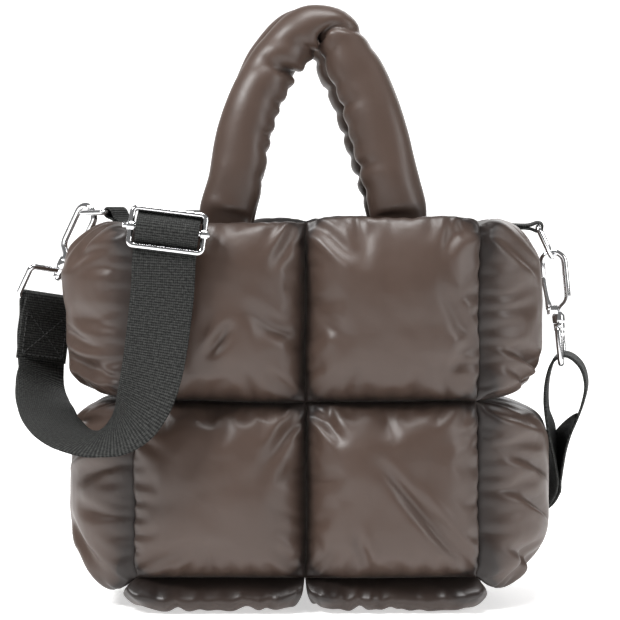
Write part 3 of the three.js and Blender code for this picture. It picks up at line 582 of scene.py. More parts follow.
class Puff:
    def __init__(self, name, spec):
        self.name = name
        self.spec = spec
        self.panel = spec["panel"]
        self.across, self.up, self.out = panelWays[self.panel]
        (lowU, highU), (lowV, highV) = seamRect(name, self.panel)
        self.half = ((highU - lowU) / 2, (highV - lowV) / 2)
        level = self.out * panelLevel(self.panel)
        if self.panel == "base":
            level = zWay * seams["base"]
        self.origin = self.across * ((lowU + highU) / 2) + self.up * ((lowV + highV) / 2) + level
        self.swell = spec["swell"] * mm
        self.power = quilting["fullness"][self.panel]
        rng = random.Random(name)
        self.gathers = [
            makeGathers(rng, 2 * self.half[1]), makeGathers(rng, 2 * self.half[1]),
            makeGathers(rng, 2 * self.half[0]), makeGathers(rng, 2 * self.half[0]),
        ]
        self.offset = Vector([rng.uniform(0, 90) for k in range(3)])
        rise = spec["rise"] * mm
        self.lean = {"top": rise, "bottom": 0.0, "left": 0.0, "right": 0.0}
        if self.panel == "base":
            self.lean["top"] = self.lean["bottom"] = rise + quilting["baseForward"]
            self.lean["left" if name.endswith("left") else "right"] = rise
        elif self.panel in ("left", "right"):
            self.lean["left"] = self.lean["right"] = quilting["overSeam"] * 0.7
            self.lean["bottom"] = 0.0 if "upper" in name else quilting["droop"]
        else:
            self.lean["left" if name.endswith("left") else "right"] = quilting["overSeam"]

    def height(self, u, v):
        edge = max(0.0, 1 - abs(u) ** self.power[0]) * max(0.0, 1 - abs(v) ** self.power[1])
        share = math.sqrt(edge)
        if self.panel == "base":
            share = min(1.0, share * 1.6)
        share *= gatherShare(v, 1 - u, self.gathers[0]) * gatherShare(v, 1 + u, self.gathers[1])
        share *= gatherShare(u, 1 - v, self.gathers[2]) * gatherShare(u, 1 + v, self.gathers[3])
        return share

    def spot(self, u, v, share, sunk=0.0):
        lean = math.sin(math.pi * min(share, 0.999)) if not sunk else 0.0
        if self.panel == "base":
            lean = min(1.0, 2.2 * share) ** 0.6 if not sunk else 0.0
        sideways = (self.lean["right"] if u > 0 else -self.lean["left"]) * u ** 4 * lean
        upwards = (self.lean["top"] if v > 0 else -self.lean["bottom"]) * v ** 4 * lean
        if self.panel == "base":
            ruffle = noise.noise(self.offset + Vector((u * 4.3, v * 0.4, share * 0.5)))
            ruffle += 0.6 * noise.noise(self.offset + Vector((u * 11, v, share)))
            upwards += math.copysign(ruffle * quilting["baseGather"] * v ** 6 * lean, v)
        point = self.origin + self.across * (u * self.half[0] + sideways)
        point = point + self.up * (v * self.half[1] + upwards)
        wander = 0.0
        if self.panel != "base":
            spot = self.offset + Vector((u, v, 0)) * 1.9
            wander = (noise.noise(spot) + 0.3 * noise.noise(spot * 2.6)) * quilting["unevenness"] * share
        point = point + self.out * (share * self.swell + wander - sunk)
        stray = noise.noise_vector(point * 19 + Vector((3, 7, 1))) * seams["waver"]
        stray.z *= min(1.0, max(0.0, point.z / (30 * mm)))
        return point + stray

    def sheet(self):
        cells = quilting["cells"]
        points, creaseShadeWeights = [], []
        squeeze = math.pi / 2 * 0.80
        self.places = [math.sin((i / cells * 2 - 1) * squeeze) / math.sin(squeeze) for i in range(cells + 1)]
        for u in self.places:
            for v in self.places:
                points.append(self.spot(u, v, self.height(u, v)))
                # painted shade weight, rising towards the puff's seams and most at its corners
                creaseShadeWeights.append(min(1.15, max(abs(u), abs(v)) + 0.35 * abs(u * v) ** 7))
        faces = []
        row = cells + 1
        for i in range(cells):
            for j in range(cells):
                faces.append((i * row + j, (i + 1) * row + j, (i + 1) * row + j + 1, i * row + j + 1))
        if self.across.cross(self.up).dot(self.out) < 0:
            faces = [tuple(reversed(face)) for face in faces]
        piece = makeObject(self.name + "_puff", points, faces, [shellFabric, liningFabric])
        creaseShadeLayer = piece.data.attributes.new("nearSeam", "FLOAT", "POINT")
        creaseShadeLayer.data.foreach_set("value", creaseShadeWeights)
        held = piece.vertex_groups.new(name="held")
        rim = [k for k in range(len(points)) if k // row in (0, cells) or k % row in (0, cells)]
        held.add(rim, 1.0, "REPLACE")
        smoothAll(piece)
        return piece

    def foldIn(self, piece):
        # brings the stuffed sheet to its swell and presses its folds in
        reach = sorted((vert.co - self.origin).dot(self.out) for vert in piece.data.vertices)
        full = reach[int(len(reach) * 0.97)]
        for k, vert in enumerate(piece.data.vertices):
            row = len(self.places)
            u, v = self.places[k // row], self.places[k % row]
            out = (vert.co - self.origin).dot(self.out)
            level = out * self.swell / full
            level += (self.height(u, v) * self.swell - level) * quilting["boxiness"][self.panel]
            vert.co += self.out * (level * foldShare(u, v, self.spec["folds"]) - out)

    def line(self, piece):
        # closes the padded panel with its lining side
        sunk = quilting["liningSwell"] if self.panel != "base" else 0.2 * mm
        shape = bmesh.new()
        shape.from_mesh(piece.data)
        middle = self.origin - self.out * sunk
        rim = [edge for edge in shape.edges if edge.is_boundary]
        for share, depth in ((0.93, 0.7), (0.82, 1.0)):
            made = bmesh.ops.extrude_edge_only(shape, edges=rim)["geom"]
            ring = [item for item in made if isinstance(item, bmesh.types.BMVert)]
            rim = [item for item in made if isinstance(item, bmesh.types.BMEdge) and item.is_boundary]
            inner = {0.93: 1.0, 0.82: 0.93}[share]
            for vert in ring:
                flat = vert.co - self.origin
                flat -= self.out * flat.dot(self.out)
                vert.co = self.origin + flat * (share / inner) - self.out * sunk * depth
        cap = bmesh.ops.contextual_create(shape, geom=rim)["faces"]
        for face in shape.faces:
            if (face.calc_center_median() - middle).dot(self.out) < sunk * 0.9 and face in cap:
                face.material_index = 1
        bmesh.ops.recalc_face_normals(shape, faces=shape.faces)
        shape.to_mesh(piece.data)
        shape.free()
        smoothAll(piece)


stuffing = {
    "frames": 16,
    "pressure": 3.0,
    "slack": -0.025,       # the shell is cut this much larger than its seams
    "stiffness": 15,
    "bending": 4.0,
    "air": 4.0,
}


def stuff(pieces):
    # cloth under air pressure, held at its seams, with every piece swelling at once
    scene = bpy.context.scene
    scene.frame_set(1)
    starts = {}
    for piece in pieces:
        starts[piece.name] = [vert.co.copy() for vert in piece.data.vertices]
        padding = piece.modifiers.new("padding", "CLOTH")
        cloth = padding.settings
        cloth.quality = 5
        cloth.mass = 0.12
        cloth.air_damping = stuffing["air"]
        cloth.tension_stiffness = stuffing["stiffness"]
        cloth.compression_stiffness = stuffing["stiffness"]
        cloth.shear_stiffness = stuffing["stiffness"] / 2
        cloth.bending_stiffness = stuffing["bending"]
        cloth.use_pressure = True
        cloth.uniform_pressure_force = stuffing["pressure"]
        cloth.effector_weights.gravity = 0
        cloth.vertex_group_mass = "held"
        cloth.shrink_min = stuffing["slack"]
        padding.collision_settings.use_collision = False
        padding.point_cache.frame_start = 1
        padding.point_cache.frame_end = stuffing["frames"]
    for moment in range(1, stuffing["frames"] + 1):
        scene.frame_set(moment)
    for piece in pieces:
        applyModifiers(piece)
        cap = quilting["cap"]
        moved = 0.0
        for vert, start in zip(piece.data.vertices, starts[piece.name]):
            shift = vert.co - start
            moved = max(moved, shift.length)
            if shift.length > cap:
                vert.co = start + shift * (cap / shift.length)
        print("stuffed", piece.name, "moved up to", round(moved * 1000, 1), "mm")
    scene.frame_set(1)


def makeBody():
    shapes = [Puff(name, spec) for name, spec in puffs.items()]
    pieces = [shape.sheet() for shape in shapes]
    stuff([piece for shape, piece in zip(shapes, pieces) if shape.panel != "base"])
    for shape, piece in zip(shapes, pieces):
        if shape.panel != "base":
            shape.foldIn(piece)
        for vert in piece.data.vertices:
            vert.co.z = max(vert.co.z, 0.0)
        subdivide(piece)
        for vert in piece.data.vertices:
            vert.co.z = max(vert.co.z, 0.0)
        shape.line(piece)
        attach(piece, "root")
        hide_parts(shape.name)


makeBody()
print("scene: puffs stuffed")


# Paths and sweeps

def curvePoint(points, t):
    # a smooth path through points, bending by the roots of the distances between them
    last = len(points) - 1
    k = min(last - 1, int(t * last))
    w = t * last - k
    p1, p2 = points[k], points[k + 1]
    p0 = points[k - 1] if k > 0 else p1 * 2 - p2
    p3 = points[k + 2] if k + 2 <= last else p2 * 2 - p1
    d0, d1, d2 = (math.sqrt((b - a).length) for a, b in ((p0, p1), (p1, p2), (p2, p3)))
    t1 = ((p1 - p0) / d0 - (p2 - p0) / (d0 + d1) + (p2 - p1) / d1) * d1
    t2 = ((p2 - p1) / d1 - (p3 - p1) / (d1 + d2) + (p3 - p2) / d2) * d1
    return p1 + t1 * w + (p2 * 3 - p1 * 3 - t1 * 2 - t2) * w ** 2 + (p1 * 2 - p2 * 2 + t1 + t2) * w ** 3


def curveTangent(points, t):
    before, after = max(0.0, t - 0.0001), min(1.0, t + 0.0001)
    return (curvePoint(points, after) - curvePoint(points, before)).normalized()


def squareTo(hint, axis):
    return (hint - axis * hint.dot(axis)).normalized()


def station(centre, tangent, hint):
    side = squareTo(hint, tangent)
    return centre, side, tangent.cross(side).normalized()


def pathStations(points, sides, steps):
    last = len(points) - 1
    stations = []
    for i in range(steps + 1):
        t = i / steps
        k = min(last - 1, int(t * last))
        hint = sides[k].lerp(sides[k + 1], t * last - k)
        stations.append(station(curvePoint(points, t), curveTangent(points, t), hint))
    return stations


def evenly(points, steps, samples=1500):
    # parameters at equal distances along a path
    spots = [curvePoint(points, k / samples) for k in range(samples + 1)]
    run = [0.0]
    for a, b in zip(spots, spots[1:]):
        run.append(run[-1] + (b - a).length)
    params, k = [], 0
    for i in range(steps + 1):
        wanted = run[-1] * i / steps
        while k < samples - 1 and run[k + 1] < wanted:
            k += 1
        params.append((k + (wanted - run[k]) / max(1e-9, run[k + 1] - run[k])) / samples)
    return params, run[-1]


# Padded handles

handle = {
    "halfSpan": 53 * mm,
    "shift": 3 * mm,
    "rise": 123 * mm,
    "thick": 36 * mm,
    "footDepth": 34 * mm,
    "footThick": 7 * mm,
    "lean": 20 * mm,
    "backSlip": -7 * mm,
    "fitGap": 0.4 * mm,
    "rings": 190,
    "sides": 56,
}

# across as a share of halfSpan, rise of rise, lean of lean
handleRoute = [
    (-1.0, 0.043, 0.0), (-0.889, 0.22, 0.15), (-0.783, 0.4455, 0.35), (-0.65, 0.617, 0.5),
    (-0.445, 0.788, 0.75), (-0.335, 0.85, 0.85), (-0.155, 0.94, 0.95), (0.015, 0.988, 1.0),
    (0.245, 0.982, 1.0), (0.375, 0.90, 0.95), (0.45, 0.815, 0.85), (0.578, 0.705, 0.75),
    (0.704, 0.543, 0.5), (0.832, 0.355, 0.3), (0.947, 0.174, 0.12), (1.01, 0.03, 0.0),
]
# how far along, then width and depth as shares of the thickness
footShare = handle["footThick"] / handle["thick"]
handleSections = [
    (0, 0.8, footShare), (0.065, 0.84, footShare), (0.13, 0.93, 0.82), (0.2, 0.96, 0.95), (0.4, 0.90, 0.93),
    (0.46, 0.86, 0.88), (0.52, 0.72, 0.80), (0.56, 0.84, 0.88), (0.62, 0.94, 0.93), (0.8, 1.02, 0.95),
    (0.87, 1.0, 0.82), (0.935, 0.86, footShare), (1, 0.8, footShare),
]
# creases from the inner seam: along, depth in millimetres, width, reach round the tube and slant
frontCreases = [
    (0.19, 1.6, 0.010, 0.9, 0.02), (0.235, 1.8, 0.009, 0.9, -0.02), (0.27, 2.0, 0.008, 1.0, 0.02),
    (0.305, 1.7, 0.009, 0.9, 0.01), (0.335, 2.2, 0.008, 1.1, 0.02), (0.37, 1.6, 0.009, 0.9, -0.01),
    (0.405, 7.0, 0.008, 1.7, 0.035), (0.435, 1.6, 0.009, 0.8, 0.0), (0.468, 3.0, 0.008, 1.7, 0.05),
    (0.492, 2.4, 0.008, 1.2, -0.03), (0.58, 1.5, 0.010, 0.8, 0.0), (0.625, 1.4, 0.010, 0.8, 0.01),
    (0.672, 2.2, 0.008, 1.1, -0.02), (0.71, 1.2, 0.010, 0.8, 0.0), (0.745, 1.3, 0.010, 0.9, 0.01),
    (0.785, 2.4, 0.008, 1.2, -0.02), (0.83, 1.3, 0.010, 0.8, 0.0),
]
backCreases = [
    (0.18, 1.6, 0.010, 0.9, 0.0), (0.24, 2.0, 0.008, 1.1, 0.02), (0.30, 1.5, 0.009, 0.9, 0.0),
    (0.36, 2.2, 0.008, 1.2, -0.02), (0.43, 2.6, 0.008, 1.3, 0.03), (0.49, 1.8, 0.009, 0.9, 0.0),
    (0.57, 1.8, 0.009, 1.0, 0.0), (0.62, 2.0, 0.008, 1.1, 0.02), (0.67, 1.5, 0.009, 0.9, 0.0),
    (0.715, 2.2, 0.008, 1.2, -0.01), (0.76, 1.8, 0.009, 1.0, 0.02), (0.80, 3.0, 0.008, 1.3, 0.0),
    (0.84, 1.6, 0.009, 0.9, 0.0),
]


def valueAt(rows, along, column):
    for low, high in zip(rows, rows[1:]):
        if along <= high[0]:
            share = (along - low[0]) / (high[0] - low[0])
            share = share * share * (3 - 2 * share)
            return low[column] + share * (high[column] - low[column])
    return rows[-1][column]


def makeHandle(name, front, slip, creases, seed):
    towards = 1 if front else -1
    inside = seams["halfDepth"] - quilting["liningSwell"] - 2 * handle["fitGap"] - handle["footThick"] / 2
    footY = -towards * inside
    legY = towards * (-seams["halfDepth"] + handle["fitGap"] + handle["thick"] / 2)
    def foot(across, rise):
        return Vector((handle["shift"] + across * handle["halfSpan"], footY, seams["rim"] + rise))
    lift = handle["footDepth"] * 0.3
    points = [foot(-1, -handle["footDepth"]), foot(-1, -lift)]
    for across, rise, lean in handleRoute:
        points.append(Vector((
            handle["shift"] + across * handle["halfSpan"] + slip * lean,
            legY + towards * lean * handle["lean"],
            seams["rim"] + rise * handle["rise"],
        )))
    points += [foot(1, -lift), foot(1, -handle["footDepth"])]
    params, length = evenly(points, handle["rings"])
    rng = random.Random(seed)
    offset = Vector([rng.uniform(0, 50) for k in range(3)])
    heart = Vector((handle["shift"], 0, seams["rim"] + 0.25 * handle["rise"]))
    spots, creaseShadeWeights = [], []
    for i, t in enumerate(params):
        along = i / handle["rings"]
        centre, side, normal = station(curvePoint(points, t), curveTangent(points, t), yWay)
        wide = valueAt(handleSections, along, 1) * handle["thick"] / 2
        deep = valueAt(handleSections, along, 2) * handle["thick"] / 2
        inward = 1 if (heart - centre).dot(normal) > 0 else -1
        legs = min(1.0, max(0.0, (along - 0.10) / 0.06)) * min(1.0, max(0.0, (0.90 - along) / 0.06))
        for k in range(handle["sides"]):
            angle = 2 * math.pi * k / handle["sides"]
            turn = math.atan2(math.sin(angle), math.cos(angle) * inward)
            dip = 0.0
            for place, depth, width, reach, slant in creases:
                away = (along - place - slant * turn * 0.35) / (width * (1 + 0.5 * abs(turn)))
                if abs(away) < 3:
                    dip += depth * mm * math.exp(-away * away) * math.exp(-(abs(turn) / reach) ** 2.2)
            pinch = (along - 0.528 + 0.032 * math.cos(angle) * inward) / 0.010
            dip += 5.5 * mm * math.exp(-pinch * pinch) * (0.7 + 0.3 * math.cos(turn))
            # closeness to the inner seam: deepens the seam groove and paints shade along it
            seam = math.exp(-(turn / 0.07) ** 2)
            dip += 1.1 * mm * seam
            spot = offset + Vector((along * 9, math.cos(angle) * 0.8, math.sin(angle) * 0.8))
            dip += 1.5 * mm * noise.noise(spot)
            dip *= legs
            reachWide = max(wide - dip, wide * 0.5)
            reachDeep = max(deep - dip, deep * 0.5)
            spots.append(centre + normal * (math.cos(angle) * reachWide) + side * (math.sin(angle) * reachDeep))
            # painted shade weight, rising along the inner seam and in the creases and the pinch
            creaseShadeWeights.append(0.75 + 0.25 * seam + min(0.25, dip * 40))
    sides = handle["sides"]
    faces = []
    for i in range(handle["rings"]):
        for k in range(sides):
            n = (k + 1) % sides
            faces.append((i * sides + k, i * sides + n, (i + 1) * sides + n, (i + 1) * sides + k))
    faces.append(tuple(reversed(range(sides))))
    faces.append(tuple(handle["rings"] * sides + k for k in range(sides)))
    piece = makeObject(name, spots, faces, [shellFabric])
    creaseShadeLayer = piece.data.attributes.new("nearSeam", "FLOAT", "POINT")
    creaseShadeLayer.data.foreach_set("value", creaseShadeWeights)
    faceOut(piece)
    smoothAll(piece)
    return piece


def faceOut(piece):
    shape = bmesh.new()
    shape.from_mesh(piece.data)
    bmesh.ops.recalc_face_normals(shape, faces=shape.faces)
    shape.to_mesh(piece.data)
    shape.free()


for handleName, front, slip, creases in (
    ("front_handle", True, 0.0, frontCreases),
    ("back_handle", False, handle["backSlip"], backCreases),
):
    tube = makeHandle(handleName + "_tube", front, slip, creases, handleName)
    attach(tube, "root")
    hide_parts(handleName)
print("scene: handles made")


# Metal fittings, bent from wire and turned, each in its own frame

fitting = {
    "hookWire": 4.2 * mm,
    "hookReach": 50 * mm,
    "hookHalfWidth": 7.2 * mm,
    "hookTip": 32.8 * mm,
    "post": 1.7 * mm,
    "knob": 3.1 * mm,
    "collar": 4.1 * mm,
    "boss": 3.6 * mm,
    "bossHalf": 2.3 * mm,
    "hingeAt": 12.5 * mm,
    "hingeOut": 5.4 * mm,
    "hingePin": 0.8 * mm,
    "gateThick": 3.2 * mm,
    "gateWidth": 4.2 * mm,
    "ear": 1.1 * mm,
    "gap": 0.3 * mm,
    "loopWire": 3.8 * mm,
    "loopWidth": 41 * mm,
    "loopHeight": 22 * mm,
    "ringWire": 3.2 * mm,
    "ringWidth": 21 * mm,
    "ringHeight": 19 * mm,
    "sliderWire": 3.6 * mm,
    "sliderWidth": 40.4 * mm,
    "sliderHalfHeight": 11.5 * mm,
    "sliderBar": 3.4 * mm,
    "corner": 3 * mm,
    "ringBarCorner": 2.5 * mm,
    "ringBowCorner": 9.5 * mm,
}


def selectFirst(count):
    # in edit mode, selects the first vertices alone
    mesh = bmesh.from_edit_mesh(bpy.context.object.data)
    mesh.verts.ensure_lookup_table()
    for vert in mesh.verts:
        vert.select = vert.index < count
    mesh.select_flush(True)
    bmesh.update_edit_mesh(bpy.context.object.data)


def finishEdit(soften=0.0):
    bpy.ops.mesh.select_all(action="SELECT")
    bpy.ops.mesh.remove_doubles(threshold=1e-6)
    bpy.ops.mesh.normals_make_consistent(inside=False)
    bpy.ops.object.mode_set(mode="OBJECT")
    piece = bpy.context.object
    if soften:
        bevel = piece.modifiers.new("softened", "BEVEL")
        bevel.width = soften
        bevel.segments = 2
        bevel.limit_method = "ANGLE"
        bevel.angle_limit = math.radians(40)
        applyModifiers(piece)
    bpy.ops.object.shade_smooth_by_angle(angle=math.radians(40))
    return piece


def bendWire(radius, start, legs, closed=False, soften=0.5 * mm, sides=20):
    # bends a wire in its XZ plane; it starts up Z, and a turn is (degrees, radius), clockwise from the front
    bpy.ops.object.select_all(action="DESELECT")
    bpy.ops.mesh.primitive_circle_add(vertices=sides, radius=radius, location=(start[0], 0, start[1]))
    bpy.ops.object.transform_apply(location=True)
    bpy.ops.object.mode_set(mode="EDIT")
    bpy.ops.mesh.select_all(action="SELECT")
    x, z, heading = start[0], start[1], 0.0
    for leg in legs:
        way = (math.sin(heading), math.cos(heading))
        if isinstance(leg, tuple):
            degrees, bend = leg
            sign = 1 if degrees > 0 else -1
            centre = (x + sign * way[1] * bend, z - sign * way[0] * bend)
            angle = math.radians(degrees)
            steps = max(3, int(abs(degrees) / 11))
            bpy.ops.mesh.spin(steps=steps, angle=-angle, center=(centre[0], 0, centre[1]), axis=(0, 1, 0))
            armX, armZ = x - centre[0], z - centre[1]
            x = centre[0] + armX * math.cos(angle) + armZ * math.sin(angle)
            z = centre[1] - armX * math.sin(angle) + armZ * math.cos(angle)
            heading += angle
        elif leg > 0:
            move = (way[0] * leg, 0, way[1] * leg)
            bpy.ops.mesh.extrude_region_move(TRANSFORM_OT_translate={"value": move})
            x, z = x + move[0], z + move[2]
    if closed:
        return finishEdit()
    bpy.ops.mesh.edge_face_add()
    selectFirst(sides)
    bpy.ops.mesh.edge_face_add()
    return finishEdit(soften)


def turnPiece(rows, sides=28, soften=0.3 * mm):
    # turns a piece about Z from rows of radius and height
    bpy.ops.object.select_all(action="DESELECT")
    bpy.ops.mesh.primitive_circle_add(vertices=sides, radius=rows[0][0], location=(0, 0, rows[0][1]))
    bpy.ops.object.transform_apply(location=True)
    bpy.ops.object.mode_set(mode="EDIT")
    bpy.ops.mesh.select_all(action="SELECT")
    for (oldRadius, oldHeight), (newRadius, newHeight) in zip(rows, rows[1:]):
        bpy.ops.mesh.extrude_region_move(TRANSFORM_OT_translate={"value": (0, 0, newHeight - oldHeight)})
        grow = newRadius / oldRadius
        bpy.ops.transform.resize(value=(grow, grow, 1), center_override=(0, 0, newHeight))
    bpy.ops.mesh.edge_face_add()
    selectFirst(sides)
    bpy.ops.mesh.edge_face_add()
    return finishEdit(soften)


def boxPiece(size, place, soften=0.25 * mm):
    bpy.ops.object.select_all(action="DESELECT")
    bpy.ops.mesh.primitive_cube_add(size=1, location=place, scale=size)
    bpy.ops.object.transform_apply(location=True, scale=True)
    bpy.ops.object.mode_set(mode="EDIT")
    return finishEdit(soften)


def joinPieces(name, pieces, frameOf=None, paint=None):
    bpy.ops.object.select_all(action="DESELECT")
    for piece in pieces:
        piece.select_set(True)
    bpy.context.view_layer.objects.active = pieces[0]
    if len(pieces) > 1:
        bpy.ops.object.join()
    whole = bpy.context.object
    whole.name = name
    whole.data.name = name
    whole.data.materials.clear()
    whole.data.materials.append(paint or nickelPlate)
    if frameOf is not None:
        whole.data.transform(frameOf)
    return whole


def axesFrame(origin, xHint, zAxis):
    z = zAxis.normalized()
    x = squareTo(xHint, z)
    y = z.cross(x)
    return Matrix((
        (x.x, y.x, z.x, origin.x),
        (x.y, y.y, z.y, origin.y),
        (x.z, y.z, z.z, origin.z),
        (0, 0, 0, 1),
    ))


def wireFrame(halfWidth, halfHeight, topRadius, bottomRadius, wire):
    side = 2 * halfHeight - topRadius - bottomRadius
    legs = [
        halfHeight - topRadius, (90, topRadius), 2 * (halfWidth - topRadius), (90, topRadius), side,
        (90, bottomRadius), 2 * (halfWidth - bottomRadius), (90, bottomRadius), halfHeight - bottomRadius,
    ]
    return bendWire(wire / 2, (-halfWidth, 0), legs, closed=True)


def turnedAlongX(piece, place=(0, 0, 0)):
    piece.data.transform(Matrix.Translation(place) @ Matrix.Rotation(math.pi / 2, 4, "Y"))
    return piece


def turnedAlongY(piece, place=(0, 0, 0)):
    piece.data.transform(Matrix.Translation(place) @ Matrix.Rotation(math.pi / 2, 4, "X"))
    return piece


def makeHook(name, frameOf):
    part = fitting
    foot = part["bossHalf"] + part["gap"]
    stem = turnPiece([
        (part["knob"] * 0.62, -foot - 4 * mm), (part["knob"], -foot - 2.6 * mm), (part["knob"], -foot),
        (part["post"], -foot), (part["post"], foot), (part["collar"], foot),
        (part["collar"], foot + 4.5 * mm), (part["collar"] * 0.6, foot + 7 * mm),
    ])
    half = part["hookHalfWidth"]
    rise, top = 13.6 * mm, part["hookReach"] - part["hookWire"] / 2 - half
    sway = 2 * math.atan(half / rise)
    bend = rise / 2 / math.sin(sway)
    wire = bendWire(part["hookWire"] / 2, (0, 6.4 * mm), [
        (-math.degrees(sway), bend), (math.degrees(sway), bend), top - 20 * mm, (180, half), top - part["hookTip"],
    ], soften=0.6 * mm)
    earY = part["gateWidth"] / 2 + part["gap"] + part["ear"] / 2
    ears = []
    for y in (-earY, earY):
        width = part["hingeOut"] + 1.6 * mm
        ears.append(boxPiece((width, part["ear"], 5.4 * mm), (width / 2 - 0.2 * mm, y, part["hingeAt"] - 1.2 * mm)))
    bridge = boxPiece((part["collar"] * 1.4, 2 * earY, 3 * mm), (0.2 * mm, 0, foot + 5.4 * mm))
    pin = turnPiece([(part["hingePin"], -earY), (part["hingePin"], earY)], sides=16, soften=0.1 * mm)
    heads = [
        turnPiece([(1.5 * mm, y * 1.0), (1.1 * mm, y + math.copysign(0.5 * mm, y))], sides=16, soften=0.1 * mm)
        for y in (-earY - part["ear"] / 2, earY + part["ear"] / 2)
    ]
    for piece in (pin, *heads):
        turnedAlongY(piece, (part["hingeOut"], 0, part["hingeAt"]))
    return joinPieces(name, [stem, wire, *ears, bridge, pin, *heads], frameOf)


def makeGate(name, frameOf):
    part = fitting
    barrel = part["gateThick"] * 0.62
    tipX = part["hookHalfWidth"] * 1.02
    base = part["hingeAt"]
    length = part["hookTip"] - 0.3 * mm - base
    bpy.ops.object.select_all(action="DESELECT")
    bpy.ops.mesh.primitive_cube_add(
        size=1,
        location=(part["hingeOut"], 0, base + 1.25 * mm),
        scale=(2 * barrel, part["gateWidth"], 2.5 * mm),
    )
    bpy.ops.object.transform_apply(location=True, scale=True)
    bpy.ops.object.mode_set(mode="EDIT")
    bpy.ops.mesh.select_all(action="DESELECT")
    mesh = bmesh.from_edit_mesh(bpy.context.object.data)
    for face in mesh.faces:
        face.select = face.normal.z > 0.9
    bmesh.update_edit_mesh(bpy.context.object.data)
    z, x = base + 2.5 * mm, part["hingeOut"]
    for share, thick in ((0.30, 0.86), (0.55, 0.80), (0.80, 0.86), (0.93, 0.98), (1.0, 0.78)):
        newZ = base + length * share
        newX = part["hingeOut"] + (tipX - part["hingeOut"]) * share
        bpy.ops.mesh.extrude_region_move(TRANSFORM_OT_translate={"value": (newX - x, 0, newZ - z)})
        width = thick * part["gateThick"]
        old = 2 * barrel if z == base + 2.5 * mm else oldWidth
        bpy.ops.transform.resize(value=(width / old, 1, 1), center_override=(newX, 0, newZ))
        z, x, oldWidth = newZ, newX, width
    lever = finishEdit(0.45 * mm)
    half = part["gateWidth"] / 2
    drum = turnPiece([(barrel, -half), (barrel, half)], sides=24, soften=0.25 * mm)
    turnedAlongY(drum, (part["hingeOut"], 0, base))
    return joinPieces(name, [lever, drum], frameOf)


def makeLoop(name, frameOf):
    part = fitting
    halfWidth = (part["loopWidth"] + part["loopWire"]) / 2
    frame = wireFrame(halfWidth, part["loopHeight"] / 2, part["corner"], part["corner"], part["loopWire"])
    frame.data.transform(Matrix.Translation((0, 0, -part["loopHeight"] / 2)))
    half, bore = part["bossHalf"], part["post"] + part["gap"]
    boss = turnPiece([(bore, -half), (part["boss"], -half), (part["boss"], half), (bore, half)], soften=0.25 * mm)
    return joinPieces(name, [frame, boss], frameOf)


def makeRing(name, frameOf):
    part = fitting
    halfWidth = (part["ringWidth"] + part["ringWire"]) / 2
    halfHeight = (part["ringHeight"] + part["ringWire"]) / 2
    ring = wireFrame(halfWidth, halfHeight, part["ringBarCorner"], part["ringBowCorner"], part["ringWire"])
    return joinPieces(name, [ring], frameOf)


fittingPlaces = {
    "left": {
        "gateSide": Vector((0.68, -0.5, -0.53)),
        "loopSide": Vector((0.763, 0.628, -0.149)),
        "stem": Vector((0.425, -0.315, 0.85)),
        "ringPull": Vector((0.84, -0.54, 0.02)).normalized(),
    },
    "right": {
        "gateSide": Vector((-1, 0.12, 0)),
        "loopSide": Vector((0.143, 0.99, 0.013)),
        "stem": Vector((-0.1, 0, 0.995)),
        "ringPull": Vector((-0.42, 0, 0.9)).normalized(),
    },
}
ringBars = {}
for side, place in fittingPlaces.items():
    pivot = Vector(joints[side + "_swivel"]["pos_m"])
    stem = place["stem"].normalized()
    place["pivot"], place["stem"] = pivot, stem
    hookFrame = axesFrame(pivot, place["gateSide"], stem)
    hook = makeHook(side + "_snap_hook", hookFrame)
    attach(hook, side + "_hook")
    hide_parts("hook_" + side)
    gate = makeGate(side + "_snap_gate", hookFrame)
    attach(gate, side + "_gate")
    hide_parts("gate_" + side)
    loop = makeLoop(side + "_swivel_loop", axesFrame(pivot, place["loopSide"], stem))
    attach(loop, "root")
    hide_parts("loop_" + side)
    hookedAt = fitting["hookReach"] - fitting["hookWire"] - fitting["gap"] - fitting["ringWire"] / 2
    hooked = pivot + stem * hookedAt
    plane = squareTo(place["gateSide"], stem)
    barWay = squareTo(stem.cross(plane), place["ringPull"])
    halfHeight = (fitting["ringHeight"] + fitting["ringWire"]) / 2
    ringFrame = axesFrame(hooked + place["ringPull"] * halfHeight, barWay, place["ringPull"])
    ring = makeRing(side + "_d_ring", ringFrame)
    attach(ring, "root")
    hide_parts("ring_" + side)
    ringBars[side] = (hooked + place["ringPull"] * (2 * halfHeight), barWay)

outerHalfWidth, outerHalfDepth = 151 * mm, 86 * mm
webbing = {
    "width": 38 * mm,
    "thick": 1.8 * mm,
    "layerGap": 0.7 * mm,
    "fitGap": 0.4 * mm,
    "standOff": 3 * mm,
    "tabWidth": 17 * mm,
    "tabThick": 1.4 * mm,
    "tabInside": 20 * mm,
    "rimRise": 8 * mm,
    "sewnTail": 40 * mm,
    "bight": 15 * mm,
}
layerPitch = webbing["thick"] + webbing["layerGap"]
sliderCentre = Vector((
    -seams["halfWidth"] * 0.80,
    -outerHalfDepth - webbing["standOff"] - layerPitch - 2 * mm,
    seams["rim"] - 4 * mm,
))
sliderUp = Vector((0.12, 0.2, 0.97)).normalized()
sliderAlong = squareTo(Vector((0.99, 0, -0.14)), sliderUp)
sliderOut = sliderAlong.cross(sliderUp).normalized()


